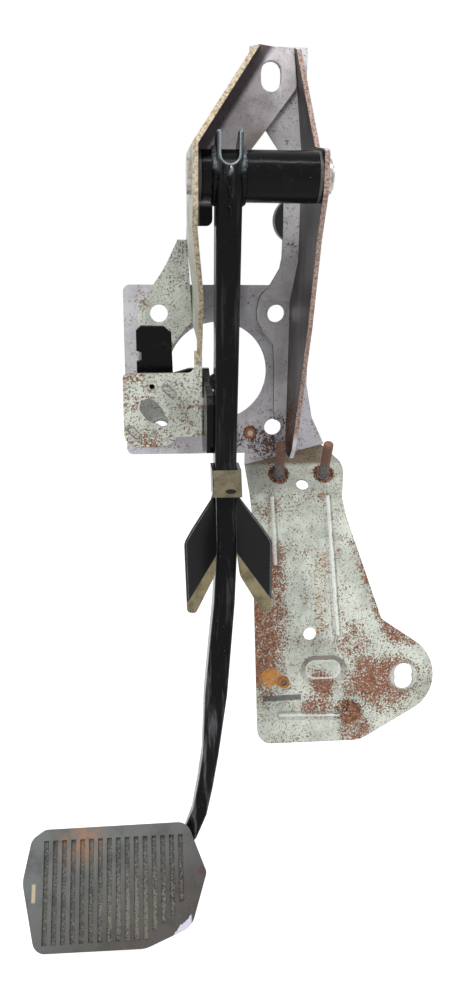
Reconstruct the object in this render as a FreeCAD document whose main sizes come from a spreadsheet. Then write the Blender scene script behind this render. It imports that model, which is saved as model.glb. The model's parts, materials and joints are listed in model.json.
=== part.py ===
import FreeCAD, Part
import math
import os
import Sketcher
from FreeCAD import Rotation, Vector

# Pendant brake pedal in its pressed steel pedal box.
# X runs to the driver's right, Y away from the driver, Z up. The origin is the centre of the
# booster opening on the rear face of the firewall plate, so everything else stands at minus Y.

os.makedirs("parts", exist_ok=True)
doc = FreeCAD.newDocument("brake_pedal")

# Driving sizes in millimetres, angles in degrees
SIZES = {
    "sheet": 2.5,
    "layer_gap": 0.4,
    "corner_radius": 4.0,
    "gasket_thickness": 2.0,
    "gasket_width": 9.0,
    "booster_radius": 30.0,
    "stud_pitch": 70.0,
    "stud_hole_radius": 5.25,
    "plate_left": 56.0,
    "plate_right": 55.5,
    "plate_top": 51.5,
    "plate_bottom": 51.5,
    "flare_start": 8.0,
    "flare_reach": 68.0,
    "flare_height": 46.0,
    "apron_left": 18.0,
    "apron_drop": 59.0,
    "left_web_low": -12.7,
    "left_web_high": -16.9,
    "left_joggle_low": 50.0,
    "left_joggle_high": 84.0,
    "right_web": 43.0,
    "kink_height": 120.5,
    "box_top": 174.0,
    "left_kink_angle": 34.0,
    "right_kink_angle": 6.5,
    "web_bottom": 50.0,
    "pivot_depth": 85.0,
    "pivot_height": 107.5,
    "lobe_reach": 18.0,
    "right_lobe_reach": 10.5,
    "top_front_depth": 62.0,
    "right_top_depth": 36.8,
    "bridge_depth": 27.5,
    "bridge_bottom": 84.6,
    "foot_top": 77.0,
    "slope_bottom": 44.0,
    "slope_top": 68.0,
    "foot_lobe_radius": 10.5,
    "switch_depth": 62.0,
    "switch_left": 55.5,
    "switch_top": 9.0,
    "switch_bottom": 26.0,
    "switch_lobe_bottom": 31.8,
    "switch_eye_radius": 5.1,
    "dent_depth": 0.8,
    "window_top": 26.0,
    "window_bottom": 18.0,
    "window_depth": 54.0,
    "slot_across": 25.1,
    "slot_height": 159.3,
    "slot_radius": 5.4,
    "slot_stretch": 2.1,
    "bracket_sheet": 2.0,
    "bracket_left": 18.0,
    "facet_tilt": 48.0,
    "facet_length": 21.6,
    "apron_tilt": 13.0,
    "apron_length": 162.0,
    "recess_depth": 2.5,
    "rib_radius": 1.5,
    "ear_across": 119.0,
    "ear_down": 120.8,
    "throttle_stud_radius": 3.0,
    "throttle_stud_length": 34.0,
    "throttle_stud_left": 39.2,
    "throttle_stud_right": 68.0,
    "throttle_stud_down": 8.4,
    "throttle_stud_lean": 6.0,
    "tube_radius": 12.0,
    "tube_wall": 2.0,
    "bush_flange": 1.5,
    "end_gap": 0.5,
    "pin_radius": 6.0,
    "pin_head_radius": 8.5,
    "pin_head_height": 2.2,
    "washer_thickness": 1.2,
    "clip_thickness": 1.0,
    "groove_cut": 1.0,
    "sleeve_radius": 8.0,
    "pin_clearance": 0.2,
    "running_fit": 0.05,
    "arm_centre": -1.8,
    "arm_width": 12.6,
    "arm_foot_centre": -2.5,
    "arm_foot_width": 11.2,
    "arm_front_depth": 98.5,
    "arm_depth": 18.5,
    "arm_top": 126.8,
    "arm_knee": -30.0,
    "arm_wall": 2.0,
    "arm_edge_radius": 2.0,
    "fork_bottom": 112.5,
    "saddle_sheet": 1.8,
    "saddle_top": -34.4,
    "saddle_height": 12.4,
    "pad_across": -62.8,
    "pad_out": 170.0,
    "pad_drop": 231.6,
    "pad_tilt": 40.0,
    "pad_thickness": 7.0,
    "pad_plate_thickness": 3.0,
    "groove_pitch": 4.52,
    "groove_width": 2.4,
    "groove_depth": 1.8,
    "lever_depth": 47.0,
    "lever_sheet": 4.0,
    "pushrod_radius": 4.3,
    "pushrod_down": 98.0,
    "buffer_radius": 12.5,
    "buffer_thickness": 9.0,
}

sheet = doc.addObject("Spreadsheet::Sheet", "Dims")
for row, (alias, number) in enumerate(SIZES.items(), start=1):
    sheet.set(f"A{row}", alias)
    sheet.set(f"B{row}", str(number))
    sheet.setAlias(f"B{row}", alias)
doc.recompute()


class Size:
    """A size that carries its number and the sheet formula that it comes from."""

    def __init__(self, number, formula):
        self.number = number
        self.formula = formula

    def __add__(self, other):
        other = as_size(other)
        return Size(self.number + other.number, f"({self.formula} + {other.formula})")

    def __sub__(self, other):
        other = as_size(other)
        return Size(self.number - other.number, f"({self.formula} - {other.formula})")

    def __mul__(self, other):
        other = as_size(other)
        return Size(self.number * other.number, f"({self.formula} * {other.formula})")

    def __truediv__(self, other):
        other = as_size(other)
        return Size(self.number / other.number, f"({self.formula} / {other.formula})")

    def __neg__(self):
        return Size(-self.number, f"(-1 * {self.formula})")


def as_size(number):
    return number if isinstance(number, Size) else Size(float(number), f"{float(number)!r}")


def dim(alias):
    return Size(float(sheet.get(alias)), f"Dims.{alias}")


def tan_of(angle):
    return Size(math.tan(math.radians(angle.number)), f"tan({angle.formula} * 1 deg)")


def tie(thing, path, size):
    thing.setExpression(path, as_size(size).formula)


# Helpers for sketched sheet-metal bodies

def new_body(name):
    body = doc.addObject("PartDesign::Body", name)
    body.Label = name
    return body


def new_sketch(body, role, name, lift=0.0):
    plane = next(item for item in body.Origin.OriginFeatures if item.Role == role)
    sketch = body.newObject("Sketcher::SketchObject", name)
    sketch.AttachmentSupport = [(plane, "")]
    sketch.MapMode = "FlatFace"
    lift = as_size(lift)
    sketch.AttachmentOffset = FreeCAD.Placement(Vector(0, 0, lift.number), Rotation())
    tie(sketch, "AttachmentOffset.Base.z", lift)
    return sketch


def fix_point(sketch, geometry, point, across, up):
    for kind, size in (("DistanceX", across), ("DistanceY", up)):
        place = Sketcher.Constraint(kind, -1, 1, geometry, point, size.number)
        index = sketch.addConstraint(place)
        tie(sketch, f"Constraints[{index}]", size)


def add_outline(sketch, corners):
    corners = [(as_size(across), as_size(up)) for across, up in corners]
    places = [Vector(across.number, up.number, 0) for across, up in corners]
    first = sketch.GeometryCount
    for index, place in enumerate(places):
        following = places[(index + 1) % len(places)]
        sketch.addGeometry(Part.LineSegment(place, following), False)
    for index in range(len(places)):
        following = first + (index + 1) % len(places)
        sketch.addConstraint(Sketcher.Constraint("Coincident", first + index, 2, following, 1))
    for index, (across, up) in enumerate(corners):
        fix_point(sketch, first + index, 1, across, up)


def add_circle(sketch, across, up, radius):
    across, up, radius = as_size(across), as_size(up), as_size(radius)
    circle = Part.Circle(Vector(across.number, up.number, 0), Vector(0, 0, 1), radius.number)
    geometry = sketch.addGeometry(circle, False)
    fix_point(sketch, geometry, 3, across, up)
    index = sketch.addConstraint(Sketcher.Constraint("Radius", geometry, radius.number))
    tie(sketch, f"Constraints[{index}]", radius)


def pad(body, sketch, name, length):
    feature = body.newObject("PartDesign::Pad", name)
    feature.Profile = sketch
    feature.Length = length.number
    tie(feature, "Length", length)
    return feature


def cut_through(body, sketch, name):
    feature = body.newObject("PartDesign::Pocket", name)
    feature.Profile = sketch
    feature.Type = "ThroughAll"
    feature.SideType = "Symmetric"
    return feature


FRAME_REACH = 900.0


def trim_to(body, role, name, corners):
    """Cut away all that lies outside an outline, seen along one axis."""
    sketch = new_sketch(body, role, name + "_outline")
    far = FRAME_REACH
    add_outline(sketch, [(-far, -far), (far, -far), (far, far), (-far, far)])
    add_outline(sketch, corners)
    return cut_through(body, sketch, name)


def round_corners(body, name, role, corners, radius):
    """Round the edges that run along one axis through the named corners."""
    doc.recompute()
    solid = body.Tip.Shape
    chosen = []
    for index, edge in enumerate(solid.Edges, start=1):
        if edge.Curve.TypeId != "Part::GeomLine":
            continue
        start, end = edge.Vertexes[0].Point, edge.Vertexes[-1].Point
        along = (end - start).normalize()
        flat, upright = {"XY_Plane": ((start.x, start.y), along.z),
                         "XZ_Plane": ((start.x, start.z), along.y),
                         "YZ_Plane": ((start.y, start.z), along.x)}[role]
        if abs(upright) < 0.999:
            continue
        for across, up in corners:
            gap = math.hypot(flat[0] - as_size(across).number, flat[1] - as_size(up).number)
            if gap < 0.05:
                chosen.append(f"Edge{index}")
                break
    base = body.Tip
    feature = body.newObject("PartDesign::Fillet", name)
    feature.Base = (base, chosen)
    feature.Radius = radius.number
    tie(feature, "Radius", radius)
    return feature


def primitive(kind, name, label=None, **sizes):
    solid = doc.addObject(kind, name)
    solid.Label = label or name
    for key, size in sizes.items():
        size = as_size(size)
        setattr(solid, key, size.number)
        tie(solid, key, size)
    return solid


def place(solid, across, back, up, axis=Vector(0, 0, 1), angle=0.0):
    across, back, up = as_size(across), as_size(back), as_size(up)
    base = Vector(across.number, back.number, up.number)
    solid.Placement = FreeCAD.Placement(base, Rotation(axis, angle))
    tie(solid, "Placement.Base.x", across)
    tie(solid, "Placement.Base.y", back)
    tie(solid, "Placement.Base.z", up)
    return solid


def cylinder(name, radius, length, across, back, up, axis=Vector(0, 0, 1), angle=0.0):
    solid = primitive("Part::Cylinder", name, Radius=radius, Height=length)
    return place(solid, across, back, up, axis, angle)


def boolean(kind, name, base, tool):
    solid = doc.addObject(kind, name)
    solid.Label = name
    solid.Base = base
    solid.Tool = tool
    return solid


def join(name, pieces):
    solid = doc.addObject("Part::MultiFuse", name)
    solid.Label = name
    solid.Shapes = pieces
    solid.Refine = True
    return solid


ALONG_X = (Vector(0, 1, 0), 90.0)
TO_VIEWER = (Vector(1, 0, 0), 90.0)

thick = dim("sheet")
half_pitch = dim("stud_pitch") / 2
pivot_depth = dim("pivot_depth")
pivot_height = dim("pivot_height")
corner = dim("corner_radius")

# Firewall plate, with its slanted apron at the lower right

def make_firewall_plate():
    body = new_body("firewall_plate")
    outline = new_sketch(body, "XZ_Plane", "firewall_outline")
    left, right = -dim("plate_left"), dim("plate_right")
    top, bottom = dim("plate_top"), -dim("plate_bottom")
    flare = -dim("flare_start")
    middle = (right + (dim("flare_reach") - right) * 0.33, flare * 0.45 - dim("flare_height") * 0.55)
    corners = [(left, bottom), (dim("apron_left"), bottom), (dim("apron_left"), -dim("apron_drop")),
               (dim("flare_reach"), -dim("flare_height")), middle, (right, flare), (right, top),
               (left, top)]
    add_outline(outline, corners)
    pad(body, outline, "firewall_sheet", thick)
    holes = new_sketch(body, "XZ_Plane", "firewall_holes")
    add_circle(holes, 0, 0, dim("booster_radius"))
    for side in (-1, 1):
        for level in (-1, 1):
            add_circle(holes, half_pitch * side, half_pitch * level, dim("stud_hole_radius"))
    cut_through(body, holes, "firewall_openings")
    round_corners(body, "firewall_corners", "XZ_Plane", [corners[0], corners[6], corners[7]], corner)
    return body


def make_gasket():
    reach = dim("booster_radius") + dim("gasket_width")
    outer = cylinder("gasket_blank", reach, dim("gasket_thickness"), 0, dim("gasket_thickness"), 0,
                     *TO_VIEWER)
    inner = cylinder("gasket_hole", dim("booster_radius") + 0.4, dim("gasket_thickness") * 2, 0,
                     dim("gasket_thickness") * 1.5, 0, *TO_VIEWER)
    ring = boolean("Part::Cut", "gasket_ring", outer, inner)
    holes = []
    for side in (-1, 1):
        for level in (-1, 1):
            hole = cylinder(f"gasket_stud_{side + 1}{level + 1}", dim("stud_hole_radius") + 6,
                            dim("gasket_thickness") * 2, half_pitch * side,
                            dim("gasket_thickness") * 1.5, half_pitch * level, *TO_VIEWER)
            holes.append(hole)
    return boolean("Part::Cut", "firewall_gasket", ring, join("gasket_stud_holes", holes))


# The two side plates of the box. Each one is a single stamping with bent flanges.

def make_left_side_plate():
    body = new_body("left_side_plate")
    low, high = dim("left_web_low"), dim("left_web_high")
    kink, top, bottom = dim("kink_height"), dim("box_top") + 4, -dim("web_bottom")
    slant = tan_of(dim("left_kink_angle"))
    top_across = high + (top - kink) * slant
    web = new_sketch(body, "XZ_Plane", "left_web_section")
    section = [(low, bottom), (low, dim("left_joggle_low")), (high, dim("left_joggle_high")),
               (high, kink), (top_across, top), (top_across - thick * 1.19, top),
               (high - thick, kink + thick * 0.3), (high - thick, dim("left_joggle_high")),
               (low - thick, dim("left_joggle_low")), (low - thick, bottom)]
    add_outline(web, section)
    pad(body, web, "left_web", pivot_depth + dim("lobe_reach") + 5)

    # the web's side view, with the window that the pedal's switch lever passes through
    front = pivot_depth + dim("lobe_reach")
    bridge = dim("bridge_depth") + thick
    window = dim("window_depth")
    sill = -dim("window_bottom")
    web_foot = -half_pitch + 2
    side = [(-thick, web_foot), (-thick, sill - 3), (-window + 12, sill), (-window, sill + 6),
            (-window, dim("window_top")), (-thick, dim("window_top") + 4), (-thick, dim("foot_top")),
            (-bridge, dim("bridge_bottom")), (-bridge, dim("box_top")),
            (-dim("top_front_depth"), dim("box_top") - 6), (-front, pivot_height + 14),
            (-front, pivot_height - 14), (-front + 14, pivot_height - 34),
            (-dim("switch_depth"), dim("switch_top") + 12), (-dim("switch_depth"), -dim("switch_bottom"))]
    trim_to(body, "YZ_Plane", "left_web_trim", side)

    # flange that lies on the firewall plate, pointing outward, with a lobe round each stud hole
    foot = new_sketch(body, "XZ_Plane", "left_foot_outline", thick)
    lobe = dim("foot_lobe_radius")
    inner_side, outer_side = -half_pitch + lobe, -half_pitch - lobe - 2
    lobe_base = -half_pitch - lobe
    foot_corners = [(low - thick / 2, web_foot), (inner_side, web_foot), (inner_side, lobe_base),
                    (outer_side, lobe_base), (outer_side, half_pitch + 4), (-35.3, 55.5), (-30.5, 63),
                    (-23.6, dim("foot_top")), (high - thick / 2, dim("foot_top")),
                    (low - thick, dim("window_top") + 4), (-18.1, 27.8), (-28.7, 14.2), (-31, 0),
                    (-28, -12), (low - thick, sill - 3), (low - thick / 2, sill - 3)]
    add_outline(foot, foot_corners)
    pad(body, foot, "left_foot", thick)
    round_corners(body, "left_foot_lobes", "XZ_Plane", foot_corners[2:4], lobe - 1.5)
    round_corners(body, "left_foot_shoulder", "XZ_Plane", foot_corners[4:6], corner * 1.5)

    # flange that bridges over to the right plate, pointing inward
    bridge_face = new_sketch(body, "XZ_Plane", "left_bridge_outline", bridge)
    line = high + (dim("box_top") - kink) * slant
    slot_x, slot_z = dim("slot_across"), dim("slot_height")
    bridge_corners = [(high - thick / 2, dim("bridge_bottom")), (high + 11.5, dim("bridge_bottom")),
                      (high + 11.5, pivot_height - 10), (slot_x - 5.1, slot_z - 29.7),
                      (beside_right(slot_z - 5.3), slot_z - 5.3),
                      (beside_right(dim("box_top") - 2.2), dim("box_top") - 2.2),
                      (line, dim("box_top")), (line - thick / 2, dim("box_top")),
                      (high - thick / 2, kink)]
    add_outline(bridge_face, bridge_corners)
    pad(body, bridge_face, "left_bridge", thick)
    round_corners(body, "left_bridge_corners", "XZ_Plane", bridge_corners[4:6], corner * 1.5)
    round_corners(body, "left_bridge_toe", "XZ_Plane", bridge_corners[1:2], corner * 0.9)

    # plate that carries the lamp switch, bent outward from the front edge
    plate = new_sketch(body, "XZ_Plane", "switch_plate_outline", dim("switch_depth") - thick)
    base, lobe_bottom = -dim("switch_bottom"), -dim("switch_lobe_bottom")
    far, near = -dim("switch_left"), -dim("switch_left") + 21
    rim = low - thick * 1.7
    plate_corners = [(low, dim("switch_top") + 12), (rim, dim("switch_top") + 12), (rim, dim("switch_top")),
                     (far, dim("switch_top")), (far, lobe_bottom), (near, lobe_bottom), (near, base),
                     (low, base)]
    add_outline(plate, plate_corners)
    pad(body, plate, "switch_plate", thick)
    round_corners(body, "switch_plate_root", "XZ_Plane", plate_corners[2:3], corner)
    round_corners(body, "switch_plate_heel", "XZ_Plane", plate_corners[4:5], corner * 2)
    round_corners(body, "switch_plate_corners", "XZ_Plane", plate_corners[3:4] + plate_corners[5:6],
                  corner * 0.7)
    holes = new_sketch(body, "XZ_Plane", "left_plate_holes")
    for level in (-1, 1):
        add_circle(holes, -half_pitch, half_pitch * level, dim("stud_hole_radius"))
    cut_depth(body, holes, "left_stud_holes", dim("switch_depth") / 2)

    # the switch's opening: a wide oblong that runs into a narrow one, between two locating holes
    face = dim("switch_depth")
    eye_x, eye_z = far + 15.4, base + 14.6
    wide_end, narrow_end = (eye_x + 1.8, eye_z - 2.2), (eye_x + 5.9, eye_z - 5.8)
    for name, start, end, radius in (
            ("switch_wide", (eye_x - 1.6, eye_z + 1.8), wide_end, dim("switch_eye_radius")),
            ("switch_narrow", wide_end, narrow_end, dim("switch_eye_radius") * 0.62)):
        opening = new_sketch(body, "XZ_Plane", name + "_outline", face - thick * 2)
        add_oblong(opening, start, end, radius)
        cut_depth(body, opening, name, thick * 4)
    locators = new_sketch(body, "XZ_Plane", "switch_locators", face - thick * 2)
    for level in (13.2, -13.4):
        add_circle(locators, eye_x + 0.3, eye_z + level, 1.5)
    cut_depth(body, locators, "switch_locating_holes", thick * 4)
    dents = new_sketch(body, "XZ_Plane", "switch_dents_outline", face - dim("dent_depth"))
    for across, level in ((9.8, 10.5), (-9.7, -12.3)):
        middle_x, middle_z = eye_x + across, eye_z + level
        add_oblong(dents, (middle_x - 2.3, middle_z + 2.3), (middle_x + 2.3, middle_z - 2.3), 2.1)
    cut_depth(body, dents, "switch_dents", thick)

    slot = new_sketch(body, "XZ_Plane", "left_bridge_slot")
    add_fixing_slot(slot)
    cut_through(body, slot, "left_slot_cut")
    pivot = new_sketch(body, "YZ_Plane", "left_pivot_hole")
    add_circle(pivot, -pivot_depth, pivot_height, dim("pin_radius") + dim("pin_clearance"))
    cut_through(body, pivot, "left_pivot_cut")
    return body


def beside_right(height):
    """Just clear of the right web's inner face, at a height above its kink."""
    rise = height - dim("kink_height")
    return dim("right_web") - rise * tan_of(dim("right_kink_angle")) - dim("layer_gap")


def cut_depth(body, sketch, name, depth):
    """Cut a sketch's outline towards the driver, from the sketch's own plane."""
    feature = body.newObject("PartDesign::Pocket", name)
    feature.Profile = sketch
    feature.Type = "Length"
    feature.Length = depth.number
    feature.Reversed = True
    tie(feature, "Length", depth)
    return feature


def add_oblong(sketch, start, end, radius, steps=8):
    """A slot with round ends, from one end's centre to the other's."""
    start, end = [tuple(as_size(value) for value in point) for point in (start, end)]
    radius = as_size(radius)
    turn = math.atan2(end[1].number - start[1].number, end[0].number - start[0].number)
    corners = []
    for (across, up), first in ((end, turn - math.pi / 2), (start, turn + math.pi / 2)):
        for step in range(steps + 1):
            angle = first + math.pi * step / steps
            corners.append((across + radius * math.cos(angle), up + radius * math.sin(angle)))
    add_outline(sketch, corners)


def add_fixing_slot(sketch):
    """Upright slot for the upper fixing bolt, shared by both layers of the bridge."""
    across, up = dim("slot_across"), dim("slot_height")
    stretch = dim("slot_stretch")
    add_oblong(sketch, (across, up - stretch), (across, up + stretch), dim("slot_radius"))


def make_right_side_plate():
    body = new_body("right_side_plate")
    inner = dim("right_web")
    kink, top, bottom = dim("kink_height"), dim("box_top") + 4, -dim("web_bottom")
    slant = tan_of(dim("right_kink_angle"))
    top_across = inner - (top - kink) * slant
    web = new_sketch(body, "XZ_Plane", "right_web_section")
    add_outline(web, [(inner, bottom), (inner, kink), (top_across, top), (top_across + thick, top),
                      (inner + thick, kink), (inner + thick, bottom)])
    pad(body, web, "right_web_sheet", pivot_depth + dim("lobe_reach") + 5)

    # the flange steps forward from the firewall plate to the bridge
    flange = new_sketch(body, "YZ_Plane", "right_flange_section", 5)
    step = dim("bridge_depth")
    low, high = dim("slope_bottom"), dim("slope_top")
    add_outline(flange, [(-thick, bottom), (-thick, low), (-step, high), (-step, dim("box_top")),
                         (-step - thick, dim("box_top")), (-step - thick, high - thick / 2),
                         (-thick * 2, low - thick / 2), (-thick * 2, bottom)])
    pad(body, flange, "right_flange", inner - 5 + thick / 2)

    front = pivot_depth + dim("right_lobe_reach")
    side = [(-thick, bottom), (-thick, low), (-step, high), (-step, dim("box_top")),
            (-dim("right_top_depth"), dim("box_top") - thick), (-pivot_depth + 15.6, pivot_height + 15),
            (-front, pivot_height + 12), (-front, pivot_height - 7.5), (-front + 12, pivot_height - 29),
            (-pivot_depth + 17.7, 32.7), (-30.4, -42.7), (-22, bottom)]
    trim_to(body, "YZ_Plane", "right_side_trim", side)
    round_corners(body, "right_lobe_corners", "YZ_Plane", side[6:8], corner)
    outline = [(inner + 8, bottom), (36.5, bottom), (35, -18), (34.6, 2), (33.5, 17), (27.5, 24),
               (23.6, 31), (23.1, 37), (25.2, 46), (30, 53), (33.6, 62), (34, 78), (33.7, 99),
               (30.8, 123.2), (14, 146), (14, dim("box_top") + 10), (inner + 8, dim("box_top") + 10)]
    trim_to(body, "XZ_Plane", "right_front_trim", outline)
    holes = new_sketch(body, "XZ_Plane", "right_plate_holes")
    add_circle(holes, half_pitch, half_pitch, dim("stud_hole_radius"))
    add_circle(holes, half_pitch, -half_pitch, dim("stud_hole_radius"))
    cut_through(body, holes, "right_stud_holes")
    slot = new_sketch(body, "XZ_Plane", "right_bridge_slot")
    add_fixing_slot(slot)
    cut_through(body, slot, "right_slot_cut")
    pivot = new_sketch(body, "YZ_Plane", "right_pivot_hole")
    add_circle(pivot, -pivot_depth, pivot_height, dim("pin_radius") + dim("pin_clearance"))
    cut_through(body, pivot, "right_pivot_cut")
    return body


# Lower bracket: a lap behind the firewall plate, a tilted shelf and a long apron

def bracket_frame():
    """Where the shelf and the apron of the lower bracket lie, in the side view."""
    steel = dim("bracket_sheet")
    shelf = math.radians(dim("facet_tilt").number)
    apron = math.radians(dim("apron_tilt").number)
    shelf_start = Vector(0, 0, -dim("apron_drop").number - 0.3)
    shelf_run = Vector(0, -math.sin(shelf), -math.cos(shelf))
    fold = shelf_start + shelf_run * dim("facet_length").number
    apron_run = Vector(0, -math.sin(apron), -math.cos(apron))
    return steel.number, shelf_start, shelf_run, fold, apron_run


def outward(run):
    """Unit normal of a facet, towards the driver."""
    return run.cross(Vector(1, 0, 0)).normalize()


def prism(points, push):
    wire = Part.makePolygon(points + [points[0]])
    return Part.Face(wire).extrude(push)


def rounded_wire(corners):
    """Closed wire through (point, radius) corners, each one rounded by its own arc."""
    ends = []
    for index, (here, radius) in enumerate(corners):
        before = (corners[index - 1][0] - here).normalize()
        after = (corners[(index + 1) % len(corners)][0] - here).normalize()
        half = before.getAngle(after) / 2
        if radius == 0:
            ends.append((here, None, here))
            continue
        reach = radius / math.tan(half)
        inward = (before + after).normalize()
        middle = here + inward * (radius / math.sin(half) - radius)
        ends.append((here + before * reach, middle, here + after * reach))
    edges = []
    for index, (start, middle, end) in enumerate(ends):
        if middle:
            edges.append(Part.Arc(start, middle, end).toShape())
        following = ends[(index + 1) % len(ends)][0]
        if (following - end).Length > 0.001:
            edges.append(Part.LineSegment(end, following).toShape())
    return Part.Wire(edges)


def rounded_prism(corners, push):
    return Part.Face(rounded_wire(corners)).extrude(push)


def on_apron(across, down, lift=0.0):
    steel, start, shelf_run, fold, run = bracket_frame()
    return Vector(across, 0, 0) + fold + run * down + outward(run) * lift


def make_throttle_bracket():
    steel, start, shelf_run, fold, apron_run = bracket_frame()
    out = outward(apron_run)
    shelf_out = outward(shelf_run)
    left = dim("bracket_left").number
    length = dim("apron_length").number
    lap_top = -dim("flare_height").number + 6
    side = [Vector(0, 0, start.z), Vector(0, 0, lap_top), Vector(0, steel, lap_top),
            Vector(0, steel, start.z - steel * 0.4), fold - shelf_out * steel - shelf_run * 0.8,
            fold + apron_run * length - out * steel, fold + apron_run * length, fold]
    side = [point + Vector(left - 5, 0, 0) for point in side]
    strip = prism(side, Vector(130, 0, 0))
    ear_x, ear_down = dim("ear_across").number, dim("ear_down").number
    ear_z = on_apron(ear_x, ear_down).z
    foot_z = on_apron(left, length).z
    outline = [(left, lap_top - 9, 0), (57, lap_top - 9, 0), (66, lap_top - 6.5, 3), (81.8, -60.5, 7),
               (78, -76, 12), (81, -89, 20), (104.5, ear_z + 36.5, 8), (ear_x + 42, ear_z - 1.3, 24.4),
               (90, foot_z, 14), (left + 5.6, foot_z, 9), (left + 3.1, -86, 0),
               (left, start.z - 1.2, 0)]
    profile = rounded_prism([(Vector(x, -90, z), radius) for x, z, radius in outline],
                            Vector(0, 100, 0))
    solid = strip.common(profile)

    # pressed oblong recess in the middle of the apron, standing out at the back
    middle_x, middle_down, sunk = 66.6, 115.7, dim("recess_depth").number
    for lift, joining in ((-steel, True), (0.0, False)):
        rim = recess_wire(middle_x, middle_down, 3.9, 11.8, lift)
        floor = recess_wire(middle_x, middle_down, 6.4, 5.0, lift - sunk)
        dish = Part.makeLoft([rim, floor], True, True)
        solid = solid.fuse(dish) if joining else solid.cut(dish)

    # holes: two round fixing holes and the cable's oval in the ear
    lower = on_apron(57.7, 91.1, 5)
    upper = start + shelf_run * 15.8 + Vector(53.7, 0, 0) + shelf_out * 5
    ear = on_apron(ear_x, ear_down, 5)
    reach = 12
    cutters = [Part.makeCylinder(4.2, reach, lower, out * -1),
               Part.makeCylinder(4.0, reach, upper, shelf_out * -1)]
    for side_step in (-2.4, 2.4):
        cutters.append(Part.makeCylinder(6.1, reach, ear + apron_run * side_step, out * -1))
    solid = solid.cut(cutters)

    # pressed stiffening ribs, as (across, down) at either end
    ribs = [((69.2, 2), (75.9, 92.4)), ((34, 2), (36.1, 46)), ((37, 143), (77, 144.4))]
    for begin_at, end_at in ribs:
        begin, end = on_apron(*begin_at), on_apron(*end_at)
        along = end - begin
        solid = solid.fuse(Part.makeCylinder(dim("rib_radius").number, along.Length, begin, along))
    solid = solid.removeSplitter()
    feature = doc.addObject("Part::Feature", "throttle_bracket")
    feature.Label = "throttle_bracket"
    feature.Shape = solid
    return feature


def recess_wire(across, down, stretch, radius, lift):
    """Oblong outline on the apron, longer across than down."""
    corners = []
    for side, level in ((-1, -1), (1, -1), (1, 1), (-1, 1)):
        point = on_apron(across + side * (stretch + radius), down + level * radius, lift)
        corners.append((point, radius))
    return rounded_wire(corners)


def make_throttle_stud(name, across, bracket):
    steel, start, run, fold, apron_run = bracket_frame()
    out = Rotation(Vector(0, 0, 1), -dim("throttle_stud_lean").number).multVec(outward(run))
    seat = start + run * dim("throttle_stud_down").number + Vector(across.number, 0, 0)
    radius = dim("throttle_stud_radius").number
    length = dim("throttle_stud_length").number
    shank = Part.makeCylinder(radius, length - 1, seat, out)
    tip = Part.makeCone(radius, radius * 0.7, 1, seat + out * (length - 1), out)
    collar = Part.makeCone(radius + 1.2, radius + 0.1, 1.2, seat, out)
    feature = doc.addObject("Part::Feature", name)
    feature.Label = name
    feature.Shape = shank.fuse([tip, collar]).cut(bracket.Shape).removeSplitter()
    return feature


# Pivot: bolt, spacer sleeve and nut belong to the box, tube and bushes to the pedal

tube_left = dim("left_web_high") + dim("end_gap") + dim("bush_flange")
tube_right = dim("right_web") - dim("end_gap") - dim("bush_flange")


def across_cylinder(name, radius, length, from_left):
    return cylinder(name, radius, length, from_left, -pivot_depth, pivot_height, *ALONG_X)


def make_pivot_tube():
    outer = across_cylinder("tube_outer", dim("tube_radius"), tube_right - tube_left, tube_left)
    inner = across_cylinder("tube_inner", dim("tube_radius") - dim("tube_wall"),
                            tube_right - tube_left + 4, tube_left - 2)
    return boolean("Part::Cut", "pivot_tube", outer, inner)


def make_bush(name, left_end):
    bore = dim("sleeve_radius") + dim("running_fit")
    depth = dim("tube_radius")
    flange_start = tube_left - dim("bush_flange") if left_end else tube_right
    barrel_start = tube_left if left_end else tube_right - depth
    flange = across_cylinder(name + "_flange", dim("tube_radius") - 0.2, dim("bush_flange"), flange_start)
    barrel = across_cylinder(name + "_barrel", dim("tube_radius") - dim("tube_wall"), depth, barrel_start)
    hole = across_cylinder(name + "_bore", bore, depth * 3, barrel_start - depth)
    return boolean("Part::Cut", name, join(name + "_blank", [flange, barrel]), hole)


def make_sleeve():
    start, end = dim("left_web_high"), dim("right_web")
    outer = across_cylinder("sleeve_outer", dim("sleeve_radius"), end - start, start)
    inner = across_cylinder("sleeve_inner", dim("pin_radius") + dim("pin_clearance"),
                            end - start + 4, start - 2)
    return boolean("Part::Cut", "pivot_sleeve", outer, inner)


def make_pivot_pin():
    """Headed pin, flush against the outside of the left plate, with a groove for its clip."""
    start = dim("left_web_high") - thick
    tail = dim("washer_thickness") + dim("clip_thickness") + 1.2
    span = dim("right_web") - dim("left_web_high") + thick * 2
    head = across_cylinder("pin_head_disc", dim("pin_head_radius"), dim("pin_head_height"),
                           start - dim("pin_head_height"))
    shank = across_cylinder("pin_shank", dim("pin_radius"), span + tail, start)
    groove_start = start + span + dim("washer_thickness")
    groove_ring = across_cylinder("groove_ring", dim("pin_radius") + 2, dim("clip_thickness"), groove_start)
    groove_core = across_cylinder("groove_core", dim("pin_radius") - dim("groove_cut"),
                                  dim("clip_thickness"), groove_start)
    groove = boolean("Part::Cut", "clip_groove", groove_ring, groove_core)
    return boolean("Part::Cut", "pivot_pin", join("pin_blank", [head, shank]), groove)


def make_pivot_washer():
    start = dim("right_web") + thick
    disc = across_cylinder("washer_disc", dim("pin_head_radius") + 1, dim("washer_thickness"), start)
    hole = across_cylinder("washer_hole", dim("pin_radius") + dim("pin_clearance"), 10, start - 5)
    return boolean("Part::Cut", "pivot_washer", disc, hole)


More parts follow.
